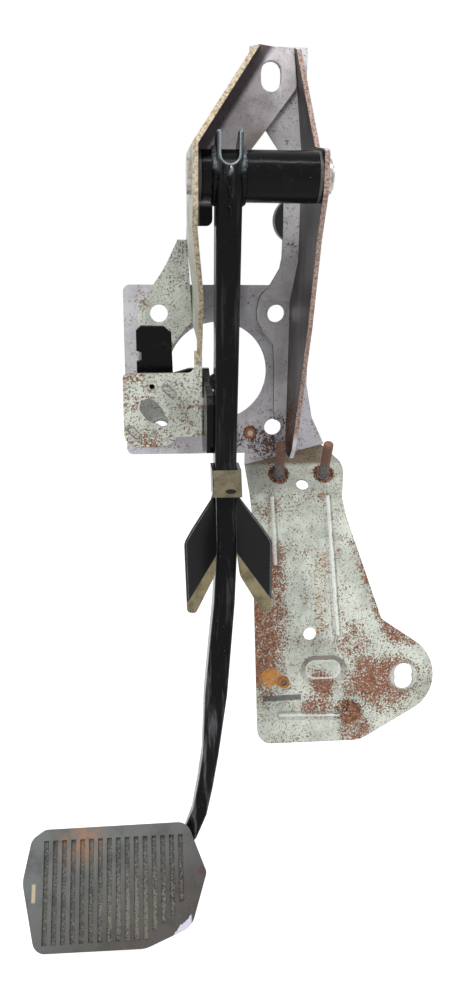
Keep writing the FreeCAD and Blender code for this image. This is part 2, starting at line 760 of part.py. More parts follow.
def make_pivot_clip():
    """Retaining clip: a ring with an open mouth at the bottom, seated in the pin's groove."""
    start = dim("right_web") + thick + dim("washer_thickness")
    disc = across_cylinder("clip_disc", dim("pin_radius") + 2.6, dim("clip_thickness"), start)
    hole = across_cylinder("clip_hole", dim("pin_radius") - dim("groove_cut"), 10, start - 5)
    mouth = primitive("Part::Box", "clip_mouth", Length=10, Width=(dim("pin_radius") - 2) * 2, Height=20)
    place(mouth, start - 5, -pivot_depth - dim("pin_radius") + 2, pivot_height - 20)
    return boolean("Part::Cut", "pivot_clip", disc, join("clip_gap", [hole, mouth]))


# Pedal arm: a folded box with a fork on top, then a bar that sweeps down to the pad

def bar_section(centre, run, wide, deep):
    """Rounded rectangle square to the bar's own run."""
    side = (Vector(1, 0, 0) - run * run.x).normalize()
    back = side.cross(run) * (deep / 2)
    side = side * (wide / 2)
    radius = dim("arm_edge_radius").number
    return rounded_wire([(centre - side - back, radius), (centre + side - back, radius),
                         (centre + side + back, radius), (centre - side + back, radius)])


def pad_frame():
    centre = Vector(dim("pad_across").number, -dim("pad_out").number, -dim("pad_drop").number)
    turn = Rotation(Vector(1, 0, 0), 90 - dim("pad_tilt").number)
    return FreeCAD.Placement(centre, turn)


# The bar below the knee: how far each station is from the knee to the pad (across, forward, down),
# then its width and depth as parts of the box's own
BAR_STATIONS = [
    (-0.003, 0.062, 0.081, 0.98, 0.97),
    (-0.004, 0.149, 0.203, 0.965, 0.945),
    (0.034, 0.253, 0.355, 0.98, 0.92),
    (0.077, 0.317, 0.454, 1.02, 0.89),
    (0.131, 0.402, 0.581, 1.05, 0.865),
    (0.196, 0.496, 0.734, 0.76, 0.757),
    (0.255, 0.543, 0.815, 0.73, 0.73),
    (0.323, 0.607, 0.883, 0.715, 0.70),
    (0.434, 0.681, 0.933, 0.715, 0.70),
    (0.56, 0.752, 0.958, 0.715, 0.70),
    (0.697, 0.824, 0.976, 0.715, 0.70),
    (1.0, 1.0, 1.0, 0.715, 0.70),
]


def make_pedal_arm():
    wide, deep = dim("arm_width").number, dim("arm_depth").number
    foot_wide = dim("arm_foot_width").number
    back = -dim("arm_front_depth").number + deep / 2
    crown = Vector(dim("arm_centre").number, back, dim("arm_top").number)
    knee = Vector(dim("arm_foot_centre").number, back, dim("arm_knee").number)
    upright = Vector(0, 0, -1)
    box = Part.makeLoft([bar_section(crown, upright, wide, deep),
                         bar_section(knee, upright, foot_wide, deep)], True, True)

    # fork: a round-bottomed notch leaves two ears, slanted at the back
    gap = wide / 2 - dim("arm_wall").number
    notch_top, notch_bottom = crown.z + 10, dim("fork_bottom").number
    notch = rounded_prism([(Vector(crown.x - gap, back - deep, notch_top), 0),
                           (Vector(crown.x + gap, back - deep, notch_top), 0),
                           (Vector(crown.x + gap, back - deep, notch_bottom), gap * 0.98),
                           (Vector(crown.x - gap, back - deep, notch_bottom), gap * 0.98)],
                          Vector(0, deep * 2, 0))
    slant = prism([Vector(crown.x - wide, back + deep / 2 - 12, crown.z + 1),
                   Vector(crown.x - wide, back + deep, crown.z + 1),
                   Vector(crown.x - wide, back + deep, pivot_height.number + 9)],
                  Vector(wide * 2, 0, 0))
    box = box.cut([notch, slant])

    # the bar runs on from the knee and ends behind the pad
    pad_end = pad_frame().Base + Vector(10.8, 7, -8.4)
    way = pad_end - knee
    stations = [knee] + [knee + Vector(way.x * x, way.y * y, way.z * z)
                         for x, y, z, broad, thickness in BAR_STATIONS]
    sections = [bar_section(knee, upright, foot_wide, deep)]
    for index, (x, y, z, broad, thickness) in enumerate(BAR_STATIONS, start=1):
        run = stations[min(index + 1, len(stations) - 1)] - stations[index - 1]
        sections.append(bar_section(stations[index], run.normalize(), foot_wide * broad,
                                    deep * thickness))
    bar = Part.makeLoft(sections, True, True)
    plate_back = dim("pad_thickness").number + dim("pad_plate_thickness").number
    keep_out = Part.makeBox(110, 70, 60, Vector(-55, -35, -plate_back))
    keep_out.Placement = pad_frame().multiply(keep_out.Placement)
    arm = box.fuse(bar.cut(keep_out))
    through = wide * 5
    bore = Part.makeCylinder(dim("tube_radius").number, through,
                             Vector(-through / 2, -pivot_depth.number, pivot_height.number),
                             Vector(1, 0, 0))
    cross_bore = Part.makeCylinder(dim("pushrod_radius").number, through,
                                   Vector(-through / 2, back,
                                          (pivot_height - dim("pushrod_down")).number),
                                   Vector(1, 0, 0))
    arm = arm.cut([bore, cross_bore]).removeSplitter()
    feature = doc.addObject("Part::Feature", "pedal_arm")
    feature.Label = "pedal_arm"
    feature.Shape = arm
    return feature


# Saddle over the knee of the arm, with its two flared wings

def make_wing_saddle(arm):
    steel = dim("saddle_sheet").number
    middle_x = dim("arm_foot_centre").number + 0.2
    front = -dim("arm_front_depth").number
    top = dim("saddle_top").number
    bottom = top - dim("saddle_height").number
    half = dim("arm_foot_width").number / 2 + 0.1

    # cap: a folded channel that leans forward with the arm
    lean = 7.7
    face_top = Vector(0, front - 0.4, top)
    face_bottom = Vector(0, front - lean, bottom)
    side = [face_top, face_bottom, face_bottom + Vector(0, 14, -1), face_top + Vector(0, 13, 0)]
    outer = prism([p + Vector(middle_x - half - steel, -steel if i < 2 else 0, 0)
                   for i, p in enumerate(side)], Vector(2 * (half + steel), 0, 0))
    inner = prism([p + Vector(middle_x - half, 0 if i < 2 else 6, 3 if i in (0, 3) else -3)
                   for i, p in enumerate(side)], Vector(2 * half, 0, 0))
    shell = outer.cut(inner)

    # wings: (outward, down, corner radius) on two planes that flare forward from the cap
    outline = [(0, -4, 0), (1.5, 3, 4), (14.8, 15.4, 8), (20.4, 21.5, 6), (19.2, 57.4, 2.5),
               (14.6, 58.2, 2), (1.6, 43, 8), (-0.4, 30, 0)]
    flare = math.radians(38)
    wings = []
    for sign in (-1, 1):
        root = Vector(middle_x + sign * half, front - 2, bottom + 0.8)
        across = Vector(sign * math.cos(flare), -math.sin(flare), 0)
        downward = Vector(0, -0.32, -1).normalize()
        normal = across.cross(downward).normalize() * -steel
        corners = [(root + across * out + downward * down, radius) for out, down, radius in outline]
        wings.append(rounded_prism(corners, normal))
    solid = shell.fuse(wings).cut(arm.Shape).removeSplitter()
    feature = doc.addObject("Part::Feature", "wing_saddle")
    feature.Label = "wing_saddle"
    feature.Shape = solid
    return feature


# Pad: a steel plate on the arm and the ribbed rubber that is stretched over it

# (across, up) corners of the pad, clockwise from the top left, and their radii over the corner's own
PAD_OUTLINE = [(-35.3, 29), (37, 29.5), (46.4, 5), (38, -19.5), (15, -28), (-39, -27.6),
               (-46, 4.7), (-42, 24.5)]
PAD_ROUNDING = [1.5, 1.8, 0.9, 2.5, 4, 1.6, 4, 1.5]


def round_pad(body, name, corners):
    for index, (place_at, share) in enumerate(zip(corners, PAD_ROUNDING)):
        round_corners(body, f"{name}_{index}", "XY_Plane", [place_at], corner * share)


def make_pad_rubber():
    body = new_body("pad_rubber")
    outline = new_sketch(body, "XY_Plane", "rubber_outline", -dim("pad_thickness"))
    add_outline(outline, PAD_OUTLINE)
    pad(body, outline, "rubber_block", dim("pad_thickness"))
    round_pad(body, "rubber_corner", PAD_OUTLINE)
    grooves = new_sketch(body, "XY_Plane", "groove_outline", 1)
    pitch, half = dim("groove_pitch"), dim("groove_width") / 2
    count, worn = 16, {12: -20, 13: -17, 14: -14, 15: -8}
    for index in range(count):
        across = pitch * (index - (count - 1) / 2) - 0.6
        foot = worn.get(index, -24)
        add_outline(grooves, [(across - half, foot), (across + half, foot), (across + half, 23.5),
                              (across - half, 23.5)])
    cut = body.newObject("PartDesign::Pocket", "grooves")
    cut.Profile = grooves
    cut.Type = "Length"
    cut.Length = SIZES["groove_depth"] + 1
    tie(cut, "Length", dim("groove_depth") + 1)
    body.Placement = pad_frame()
    return body


def make_pad_plate():
    body = new_body("pad_plate")
    base = -dim("pad_thickness") - dim("pad_plate_thickness")
    outline = new_sketch(body, "XY_Plane", "pad_plate_outline", base)
    inset = [(x * 0.94, y * 0.92) for x, y in PAD_OUTLINE]
    add_outline(outline, inset)
    pad(body, outline, "pad_steel", dim("pad_plate_thickness"))
    round_pad(body, "pad_steel_corner", inset)
    body.Placement = pad_frame()
    return body


# Levers and pins that ride on the arm

def make_switch_lever():
    body = new_body("switch_lever")
    outline = new_sketch(body, "XZ_Plane", "lever_outline", dim("lever_depth") - dim("lever_sheet") / 2)
    edge = dim("arm_centre") - dim("arm_width") / 2
    tip, top = -48.0, 32.8
    add_outline(outline, [(tip, top - 2.4), (tip + 2.6, top), (-33.3, top), (-28.9, top - 3.5),
                          (-28.1, 6.8), (edge - 11, 9.5), (edge, 9.5), (edge, -6.7), (tip, -6.7),
                          (tip, 13.5), (tip + 2.6, 14.5), (tip + 2.6, 18.5), (tip, 19.5)])
    pad(body, outline, "lever_sheet_steel", dim("lever_sheet"))
    web = new_sketch(body, "YZ_Plane", "lever_web_outline", edge - dim("lever_sheet"))
    front = -dim("arm_front_depth") + 5.5
    face = -dim("lever_depth")
    add_outline(web, [(face - 1, 9.5), (face - 13, 5), (front + 3, 2), (front, -2), (front, -24),
                      (front + 3, -28), (face - 13, -36), (face - 5, -33), (face - 1, -6.7)])
    pad(body, web, "lever_web", dim("lever_sheet"))
    return body


def make_pushrod_pin():
    """Cross pin for the booster's rod, with a domed end on the left of the arm."""
    sunk = 1.0
    start = dim("arm_centre") - dim("arm_width") / 2 + sunk
    height = pivot_height - dim("pushrod_down")
    depth = -dim("arm_front_depth") + dim("arm_depth") / 2
    shank = cylinder("cross_pin_shank", dim("pushrod_radius"), dim("arm_width") - sunk * 2.2, start,
                     depth, height, *ALONG_X)
    dome = primitive("Part::Sphere", "cross_pin_dome", Radius=dim("pushrod_radius"))
    place(dome, start, depth, height)
    return join("pushrod_pin", [shank, dome])


def make_rear_buffer():
    return cylinder("rear_buffer", dim("buffer_radius"), dim("buffer_thickness"), 42.0,
                    -dim("bridge_depth") + dim("buffer_thickness"), 88.0, *TO_VIEWER)


def make_rivet():
    head = cylinder("plate_rivet", 3.2, 1.6, 20.8, -thick, -38.4, *TO_VIEWER)
    return head


def make_weld_nut():
    steel, start, shelf_run, fold, run = bracket_frame()
    out = outward(run)
    at = on_apron(40.4, 121.4)
    outer = Part.makeCylinder(3.6, 3, at, out)
    inner = Part.makeCylinder(2.0, 3, at, out)
    feature = doc.addObject("Part::Feature", "weld_nut")
    feature.Label = "weld_nut"
    feature.Shape = outer.cut(inner)
    return feature


bracket = make_throttle_bracket()
arm = make_pedal_arm()

NODES = [
    make_firewall_plate(),
    make_gasket(),
    make_left_side_plate(),
    make_right_side_plate(),
    bracket,
    make_throttle_stud("throttle_stud_left", dim("throttle_stud_left"), bracket),
    make_throttle_stud("throttle_stud_right", dim("throttle_stud_right"), bracket),
    make_weld_nut(),
    make_rivet(),
    make_rear_buffer(),
    make_pivot_pin(),
    make_pivot_washer(),
    make_pivot_clip(),
    make_sleeve(),
    make_pivot_tube(),
    make_bush("left_bush", True),
    make_bush("right_bush", False),
    arm,
    make_wing_saddle(arm),
    make_pad_plate(),
    make_pad_rubber(),
    make_switch_lever(),
    make_pushrod_pin(),
]

doc.recompute()
for item in doc.Objects:
    if "Invalid" in item.State or "Error" in item.State:
        raise RuntimeError(f"{item.Label} failed: {item.State}")
for node in NODES:
    if node.Shape.isNull() or not node.Shape.isValid():
        raise RuntimeError(f"{node.Label} has no valid shape")
for node in NODES:
    node.Shape.exportStep(f"parts/{node.Label}.step")
    box = node.Shape.BoundBox
    print(f"{node.Label}: {len(node.Shape.Solids)} solid, {node.Shape.Volume:.0f} mm3")
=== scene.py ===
import json
import math

import bpy
from mathutils import Matrix, Vector


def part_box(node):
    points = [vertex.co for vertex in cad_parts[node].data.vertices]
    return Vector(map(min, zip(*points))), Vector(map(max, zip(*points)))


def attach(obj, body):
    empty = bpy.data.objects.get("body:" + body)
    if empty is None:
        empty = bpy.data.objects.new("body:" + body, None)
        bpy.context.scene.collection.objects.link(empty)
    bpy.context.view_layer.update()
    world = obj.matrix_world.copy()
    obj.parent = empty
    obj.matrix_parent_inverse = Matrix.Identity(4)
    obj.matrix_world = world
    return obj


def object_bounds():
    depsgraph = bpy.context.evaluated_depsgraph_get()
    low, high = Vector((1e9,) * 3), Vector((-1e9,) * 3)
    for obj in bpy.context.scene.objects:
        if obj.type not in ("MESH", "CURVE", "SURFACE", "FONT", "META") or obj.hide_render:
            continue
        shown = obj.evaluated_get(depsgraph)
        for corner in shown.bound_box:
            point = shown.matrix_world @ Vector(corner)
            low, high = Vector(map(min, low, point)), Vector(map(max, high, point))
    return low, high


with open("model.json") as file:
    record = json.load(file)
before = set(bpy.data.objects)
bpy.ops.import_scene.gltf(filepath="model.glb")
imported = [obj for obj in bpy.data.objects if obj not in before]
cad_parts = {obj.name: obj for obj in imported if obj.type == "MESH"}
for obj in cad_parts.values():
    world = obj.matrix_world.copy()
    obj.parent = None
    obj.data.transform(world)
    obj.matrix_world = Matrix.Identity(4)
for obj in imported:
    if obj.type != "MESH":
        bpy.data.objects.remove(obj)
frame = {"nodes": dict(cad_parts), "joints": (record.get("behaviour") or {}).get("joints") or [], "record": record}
cad_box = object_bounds()
nodes = frame["nodes"]
mounts = {mount["name"]: mount for mount in frame["record"]["mounts"]}

MM = 0.001

# Places and sizes from the frame, in metres.
tube_low, tube_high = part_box("pivot_tube")
rivet_low, rivet_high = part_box("plate_rivet")
PIVOT = Vector((0, *frame["joints"][0]["pos_m"][1:]))
TUBE_RADIUS = (tube_high.z - tube_low.z) / 2
RIVET_FOOT = Vector(((rivet_low.x + rivet_high.x) / 2, rivet_high.y, (rivet_low.z + rivet_high.z) / 2))
RIVET_HEAD = Vector((RIVET_FOOT.x, rivet_low.y, RIVET_FOOT.z))
STUD_AXIS = Vector(mounts["throttle_stud_left"]["axis"])
EAR_SLOT = Vector(mounts["bracket_ear_slot"]["pos_m"])

# The same in millimetres: half the square of stud holes, and the inside of the left web.
STUD_HOLE = mounts["booster_studs"]["dims"]["spacing_x_mm"] / 2
LEFT_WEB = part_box("pivot_sleeve")[0].x / MM

# Other places on the solids, in metres. FORK is the notched top of the arm.
FORK = (-0.0018, -0.096, 0.121)
PAD_MIDDLE = (-0.0628, -0.170, -0.2316)
PAD_INWARD = Vector((0, 0.766, -0.643))
LOCATING_HOLES = ((-0.0398, -0.062, 0.0018), (-0.0398, -0.062, -0.0248))
DENTS = ((-0.0303, -0.062, -0.0009), (-0.0498, -0.062, -0.0237))
BRIDGE_STAIN_PLACE = (0.018, -0.031, 0.125)
SCORE_PLACE = (0.034, -0.0045, 0.0475)
GROOVE_WEAR = (-0.051, -0.179, -0.242)
PAD_RUST = (-0.0795, -0.1555, -0.2145)
PAD_SPOTS = (((-0.0303, -0.172, -0.2339), 1.0), ((-0.0184, -0.1661, -0.2270), 1.4))
FIREWALL_PITS = (((0.030, -0.0025, -0.046), 22, 0.20), ((0.008, -0.0025, -0.040), 20, 0.17))
BOX_MIDDLE = (0, -0.05, 0)

# And in millimetres.
SHELF_STUDS = ((39.2, -6.2, -64.9), (68.0, -6.2, -64.9))
SADDLE_MIDDLE = -2.3
SADDLE_SLOT = (1.7, -44.1)
SADDLE_SLOT_HALF = (2.7, 1.1)
KINK_HEIGHT = 120.5
DENT_SLANT = (0.727, -0.686)
DENT_HALF_LENGTH = 2.2

# Places on the lower bracket's long face, in millimetres to the right of the origin and down from its fold.
RIBS = (((69.2, 2), (75.9, 92.4)), ((34, 2), (36.1, 46)), ((37, 143), (77, 144.4)))
RECESS = (66.6, 115.7)
RECESS_HALF_LENGTH = 5.2
STAIN_ENDS = ((27, 132.5), (52, 132.0))
# Spots of rust: each has a place, a size in millimetres and a cover.
BRACKET_RUST = (((66.6, 125), 20, 0.26), ((32, 12), 22, 0.18), ((62, 138), 26, 0.20), ((84, 96), 34, 0.18),
                ((66, 5), 20, 0.12), ((88, 156), 26, 0.21), ((30, 128), 20, 0.20))
SWITCH_PLATE_RUST = (((-0.040, -0.063, 0.002), 12, 0.11), ((-0.054, -0.063, 0.006), 12, 0.14),
                     ((-0.052, -0.063, -0.028), 16, 0.12), ((-0.022, -0.063, -0.020), 16, 0.14),
                     ((-0.040, -0.063, -0.029), 16, 0.20), ((-0.026, -0.063, 0.004), 16, 0.12))

APRON_START = (-16.1, -73.75)
APRON_TILT = math.radians(13)
KINK = math.radians(34)

# The camera stands where the photograph was taken, a little left of the part and looking down on it.
IMAGE_HEIGHT = 1000
FOCAL_PIXELS = 841.7
SENSOR = 36.0
CAMERA_AZIMUTH = math.radians(-5.08)
CAMERA_ELEVATION = math.radians(18.08)
CAMERA_ROLL = math.radians(0.546)
CAMERA_PLACE = Vector((-0.0391, -0.5145, 0.0852))

FLOOR_DROP = 0.07
FLOOR_HALF_WIDTH = 6.0
WORLD_LIGHT = 0.60
FLOOR_LIFT = 0.55


def make_camera():
    """The camera of the photograph, from its place, its two angles and its roll."""
    back = Vector((math.sin(CAMERA_AZIMUTH) * math.cos(CAMERA_ELEVATION),
                   -math.cos(CAMERA_AZIMUTH) * math.cos(CAMERA_ELEVATION),
                   math.sin(CAMERA_ELEVATION)))
    level = Vector((math.cos(CAMERA_AZIMUTH), math.sin(CAMERA_AZIMUTH), 0))
    up = back.cross(level)
    right = level * math.cos(CAMERA_ROLL) + up * math.sin(CAMERA_ROLL)
    up = back.cross(right)
    data = bpy.data.cameras.new("camera")
    data.sensor_fit = "VERTICAL"
    data.sensor_height = SENSOR
    data.lens = FOCAL_PIXELS * SENSOR / IMAGE_HEIGHT
    data.clip_start = 0.01
    camera = bpy.data.objects.new("camera", data)
    turn = Matrix((right, up, back)).transposed()
    camera.matrix_world = Matrix.Translation(CAMERA_PLACE) @ turn.to_4x4()
    bpy.context.scene.collection.objects.link(camera)
    bpy.context.scene.camera = camera


class Look:
    """A procedural material, built from short steps. Places are in metres, in the part's frame."""

    def __init__(self, name):
        self.material = bpy.data.materials.new(name)
        self.material.use_nodes = True
        self.tree = self.material.node_tree
        self.tree.nodes.clear()
        self.shader = self.tree.nodes.new("ShaderNodeBsdfPrincipled")
        output = self.tree.nodes.new("ShaderNodeOutputMaterial")
        self.tree.links.new(self.shader.outputs["BSDF"], output.inputs["Surface"])
        self.place = self.tree.nodes.new("ShaderNodeTexCoord").outputs["Object"]
        self.normal = None

    def put(self, node, key, value):
        """Gives an input a number, a colour or another node's output."""
        socket = node.inputs[key]
        if isinstance(value, bpy.types.NodeSocket):
            self.tree.links.new(value, socket)
        else:
            socket.default_value = value

    def math(self, operation, *values):
        node = self.tree.nodes.new("ShaderNodeMath")
        node.operation = operation
        for index, value in enumerate(values):
            self.put(node, index, value)
        return node.outputs[0]

    def vector(self, operation, first, second):
        node = self.tree.nodes.new("ShaderNodeVectorMath")
        node.operation = operation
        self.put(node, 0, first)
        self.put(node, 1, second)
        return node.outputs["Value" if operation in ("DOT_PRODUCT", "DISTANCE") else "Vector"]

    def product(self, *values):
        result = values[0]
        for value in values[1:]:
            result = self.math("MULTIPLY", result, value)
        return result

    def most(self, *values):
        result = values[0]
        for value in values[1:]:
            result = self.math("MAXIMUM", result, value)
        return result

    def inverse(self, value):
        return self.math("SUBTRACT", 1.0, value)

    def step(self, value, low, high, least=0.0, most=1.0):
        """Goes smoothly from least to most as the value goes from low to high."""
        node = self.tree.nodes.new("ShaderNodeMapRange")
        node.interpolation_type = "SMOOTHSTEP"
        self.put(node, "Value", value)
        self.put(node, "From Min", low)
        self.put(node, "From Max", high)
        self.put(node, "To Min", least)
        self.put(node, "To Max", most)
        return node.outputs["Result"]

    def noise(self, size, detail=4.0, rough=0.55, stretch=(1, 1, 1), shift=0.0, warp=0.0):
        """Cloudy noise whose lumps are about size metres across."""
        mapping = self.tree.nodes.new("ShaderNodeMapping")
        self.put(mapping, "Vector", self.place)
        self.put(mapping, "Location", (shift, shift * 0.7, -shift))
        self.put(mapping, "Scale", stretch)
        node = self.tree.nodes.new("ShaderNodeTexNoise")
        self.put(node, "Vector", mapping.outputs[0])
        self.put(node, "Scale", 1.0 / size)
        self.put(node, "Detail", detail)
        self.put(node, "Roughness", rough)
        self.put(node, "Distortion", warp)
        return node.outputs["Fac"]

    def along(self, axis, start=(0, 0, 0)):
        """How far a point lies from start, measured along an axis."""
        return self.vector("DOT_PRODUCT", self.vector("SUBTRACT", self.place, tuple(start)), tuple(axis))

    def millimetres(self):
        """How far across, back and up a point lies in the part's frame, in millimetres."""
        return [self.along(axis) for axis in ((1 / MM, 0, 0), (0, 1 / MM, 0), (0, 0, 1 / MM))]

    def near(self, centre, radius, fade):
        """1 within radius of a place, and 0 a fade further out."""
        away = self.vector("DISTANCE", self.place, tuple(centre))
        return self.step(away, radius, radius + fade, 1.0, 0.0)

    def band(self, value, low, high, fade):
        """1 while the value is between low and high."""
        above_low = self.step(value, low - fade, low)
        return self.product(above_low, self.step(value, high, high + fade, 1.0, 0.0))

    def ring(self, centre, radius, width):
        """1 on an upright circle that faces the driver, fading out over the width."""
        offset = self.vector("SUBTRACT", self.place, tuple(centre))
        flat = self.vector("MULTIPLY", offset, (1, 0, 1))
        away = self.vector("DISTANCE", flat, (0, 0, 0))
        return self.step(self.math("ABSOLUTE", self.math("SUBTRACT", away, radius)), 0.0, width, 1.0, 0.0)

    def facing(self, direction):
        """1 on faces that look along a direction, and 0 on those that lie across it."""
        true = self.tree.nodes.new("ShaderNodeNewGeometry").outputs["Normal"]
        return self.step(self.vector("DOT_PRODUCT", true, tuple(direction)), 0.4, 0.7)

    def line(self, across, up, start, end, low, high):
        """1 beside a straight line from start to end, from low to high to its right, as (across, up)."""
        run = Vector(end) - Vector(start)
        length = run.length
        run.normalize()
        from_start = self.math("SUBTRACT", across, start[0])
        above = self.math("SUBTRACT", up, start[1])
        along = self.math("ADD", self.product(from_start, run.x), self.product(above, run.y))
        beside = self.math("SUBTRACT", self.product(from_start, run.y), self.product(above, run.x))
        return self.product(self.band(along, 0.5, length - 0.5, 0.8), self.band(beside, low, high, 0.5))

    def oblong(self, aside, above, direction, half_length):
        """How far a point lies from a short line, from its distances to the middle of that line."""
        along = self.math("ADD", self.product(aside, direction[0]), self.product(above, direction[1]))
        past_end = self.math("SUBTRACT", self.math("ABSOLUTE", along), half_length)
        past_end = self.math("MAXIMUM", past_end, 0.0)
        beside = self.math("SUBTRACT", self.product(aside, direction[1]), self.product(above, direction[0]))
        return self.math("SQRT", self.math("ADD", self.product(past_end, past_end),
                                           self.product(beside, beside)))

    def edges(self, radius, sharp=0.35):
        """1 close to the solid's sharp edges and on its narrow cut faces."""
        bevel = self.tree.nodes.new("ShaderNodeBevel")
        bevel.samples = 4
        self.put(bevel, "Radius", radius)
        true = self.tree.nodes.new("ShaderNodeNewGeometry").outputs["Normal"]
        return self.step(self.vector("DOT_PRODUCT", bevel.outputs[0], true), 1.0 - sharp, 0.995, 1.0, 0.0)

    def mix(self, amount, first, second):
        """Goes from the first colour to the second as amount goes from 0 to 1."""
        node = self.tree.nodes.new("ShaderNodeMix")
        node.data_type = "RGBA"
        self.put(node, 0, amount)
        self.put(node, 6, colour(first))
        self.put(node, 7, colour(second))
        return node.outputs[2]

    def bump(self, height, strength, distance):
        """Roughens the surface by a height, on top of the bumps before it."""
        node = self.tree.nodes.new("ShaderNodeBump")
        self.put(node, "Height", height)
        self.put(node, "Strength", strength)
        self.put(node, "Distance", distance)
        if self.normal is not None:
            self.put(node, "Normal", self.normal)
        self.normal = node.outputs[0]

    def soften_edges(self, radius):
        """Lets sharp edges catch the light as pressed and worn ones do."""
        node = self.tree.nodes.new("ShaderNodeBevel")
        node.samples = 4
        self.put(node, "Radius", radius)
        self.normal = node.outputs[0]

    def finish(self, base, roughness, metallic=0.0, **more):
        self.put(self.shader, "Base Color", colour(base))
        self.put(self.shader, "Roughness", roughness)
        self.put(self.shader, "Metallic", metallic)
        for key, value in more.items():
            self.put(self.shader, key.replace("_", " "), value)
        if self.normal is not None:
            self.put(self.shader, "Normal", self.normal)
        return self.material


def colour(value):
    """A colour as red, green, blue and 1; an output of a node stays as it is."""
    return value if isinstance(value, bpy.types.NodeSocket) else (*value, 1.0)


# Colours of the finishes, as linear light.
ZINC_GREEN = (0.66, 0.70, 0.62)
ZINC_GREEN_DARK = (0.40, 0.43, 0.38)
ZINC_LILAC = (0.68, 0.66, 0.68)
ZINC_LILAC_DARK = (0.46, 0.44, 0.455)
RUST_ORANGE = (0.50, 0.20, 0.05)
RUST_RED = (0.33, 0.15, 0.09)
RUST_BROWN = (0.17, 0.075, 0.045)
RUST_DARK = (0.045, 0.022, 0.014)
PIT_GREY = (0.07, 0.06, 0.055)
PAINT_BLACK = (0.0035, 0.0035, 0.0042)
PAINT_DUST = (0.03, 0.028, 0.028)
WORN_STEEL = (0.45, 0.52, 0.55)
STEEL = (0.48, 0.46, 0.43)
OLIVE = (0.26, 0.22, 0.125)
OLIVE_DARK = (0.13, 0.11, 0.065)
# Rust, and stains on the plates.
RUST_YELLOW = (0.62, 0.30, 0.07)
STAIN_GREY = (0.09, 0.10, 0.10)
FOLD_BROWN = (0.20, 0.13, 0.075)
# The lower bracket: ribs, recess and ear.
RIB_BRIGHT = (0.84, 0.86, 0.82)
RIB_SHADE = (0.22, 0.22, 0.20)
RECESS_SHADE = (0.17, 0.13, 0.12)
RECESS_RIM = (0.80, 0.81, 0.78)
EAR_RING = (0.30, 0.31, 0.28)
EAR_FLOOR = (0.66, 0.69, 0.64)
# The left side plate.
BRIDGE_LILAC = (0.76, 0.71, 0.74)
BRIDGE_LILAC_DARK = (0.60, 0.555, 0.575)
BRIDGE_STAIN = (0.25, 0.19, 0.12)
# Painted shade on the bridge's toe, under the tube.
TOE_SHADE_BLACK = (0.012, 0.012, 0.012)
# Painted shade for the inside of the left web and the fold of its bridge.
INSIDE_SHADE_PLUM = (0.055, 0.036, 0.042)
INSIDE_SHADE_GREY = (0.30, 0.28, 0.24)
OUTSIDE_TAN = (0.42, 0.36, 0.27)
OUTSIDE_TAN_DARK = (0.24, 0.17, 0.115)
HOLE_RING = (0.28, 0.24, 0.20)
# Painted shade in and round the switch plate's dents.
DENT_FLOOR_SHADE = (0.35, 0.33, 0.30)
DENT_RIM_SHADE = (0.18, 0.165, 0.15)
FOOT_DULL = (0.26, 0.235, 0.22)
FOOT_SHADE = (0.10, 0.095, 0.09)
FOOT_RING = (0.42, 0.42, 0.41)
CUT_CREAM = (0.62, 0.53, 0.38)
CUT_CREAM_DARK = (0.26, 0.17, 0.09)
# The right side plate and the firewall plate.
# Painted shade on the inside of the right web.
WEB_SHADE_DARK = (0.038, 0.033, 0.031)
WEB_SHADE_GREY = (0.085, 0.075, 0.07)
WEB_SHADE_BLACK = (0.012, 0.011, 0.011)
# Painted highlight on the pressed rings round the stud holes.
RING_HIGHLIGHT = (0.74, 0.72, 0.75)
SCORE_BRIGHT = (0.85, 0.83, 0.86)
CUT_PINK = (0.46, 0.34, 0.29)
CUT_PINK_DARK = (0.17, 0.085, 0.06)
FIREWALL_LILAC = (0.60, 0.59, 0.63)
FIREWALL_LILAC_DARK = (0.43, 0.405, 0.43)
FIREWALL_GREEN = (0.55, 0.60, 0.59)
FIREWALL_SHADE = (0.13, 0.12, 0.135)
# Paint, steel and plastic.
CHIP_GREY = (0.30, 0.30, 0.31)
# Painted sheen on the edges of the black paint.
EDGE_SHEEN_GREY = (0.12, 0.12, 0.125)
# Painted streaks of reflected light on the arm.
STREAK_SHEEN_GREY = (0.13, 0.13, 0.14)
STEEL_STAIN = (0.16, 0.11, 0.075)
PLASTIC_DARK = (0.03, 0.03, 0.032)
PLASTIC_WORN = (0.07, 0.065, 0.06)
STUD_RUST = (0.33, 0.16, 0.11)
STUD_GREY = (0.30, 0.29, 0.29)
STUD_GREY_DARK = (0.11, 0.10, 0.10)
RIVET_BRIGHT = (0.55, 0.48, 0.42)
# The pad and the saddle.
PAD_GREY = (0.135, 0.145, 0.142)
PAD_BROWN = (0.078, 0.071, 0.066)
PAD_DARK = (0.055, 0.052, 0.049)
PAD_GRIT = (0.22, 0.21, 0.195)
GROOVE_DARK = (0.05, 0.048, 0.042)
GROOVE_CRUMBS = (0.30, 0.285, 0.23)
PAD_STAIN = (0.36, 0.16, 0.07)
PAD_CREAM = (0.52, 0.43, 0.28)
PAD_SPOT = (0.07, 0.035, 0.03)
PAD_TORN = (0.60, 0.57, 0.66)
OLIVE_GRIT = (0.40, 0.36, 0.25)
# Painted reflection on the lower rims of the saddle's wings.
RIM_REFLECTION_GREY = (0.30, 0.31, 0.33)


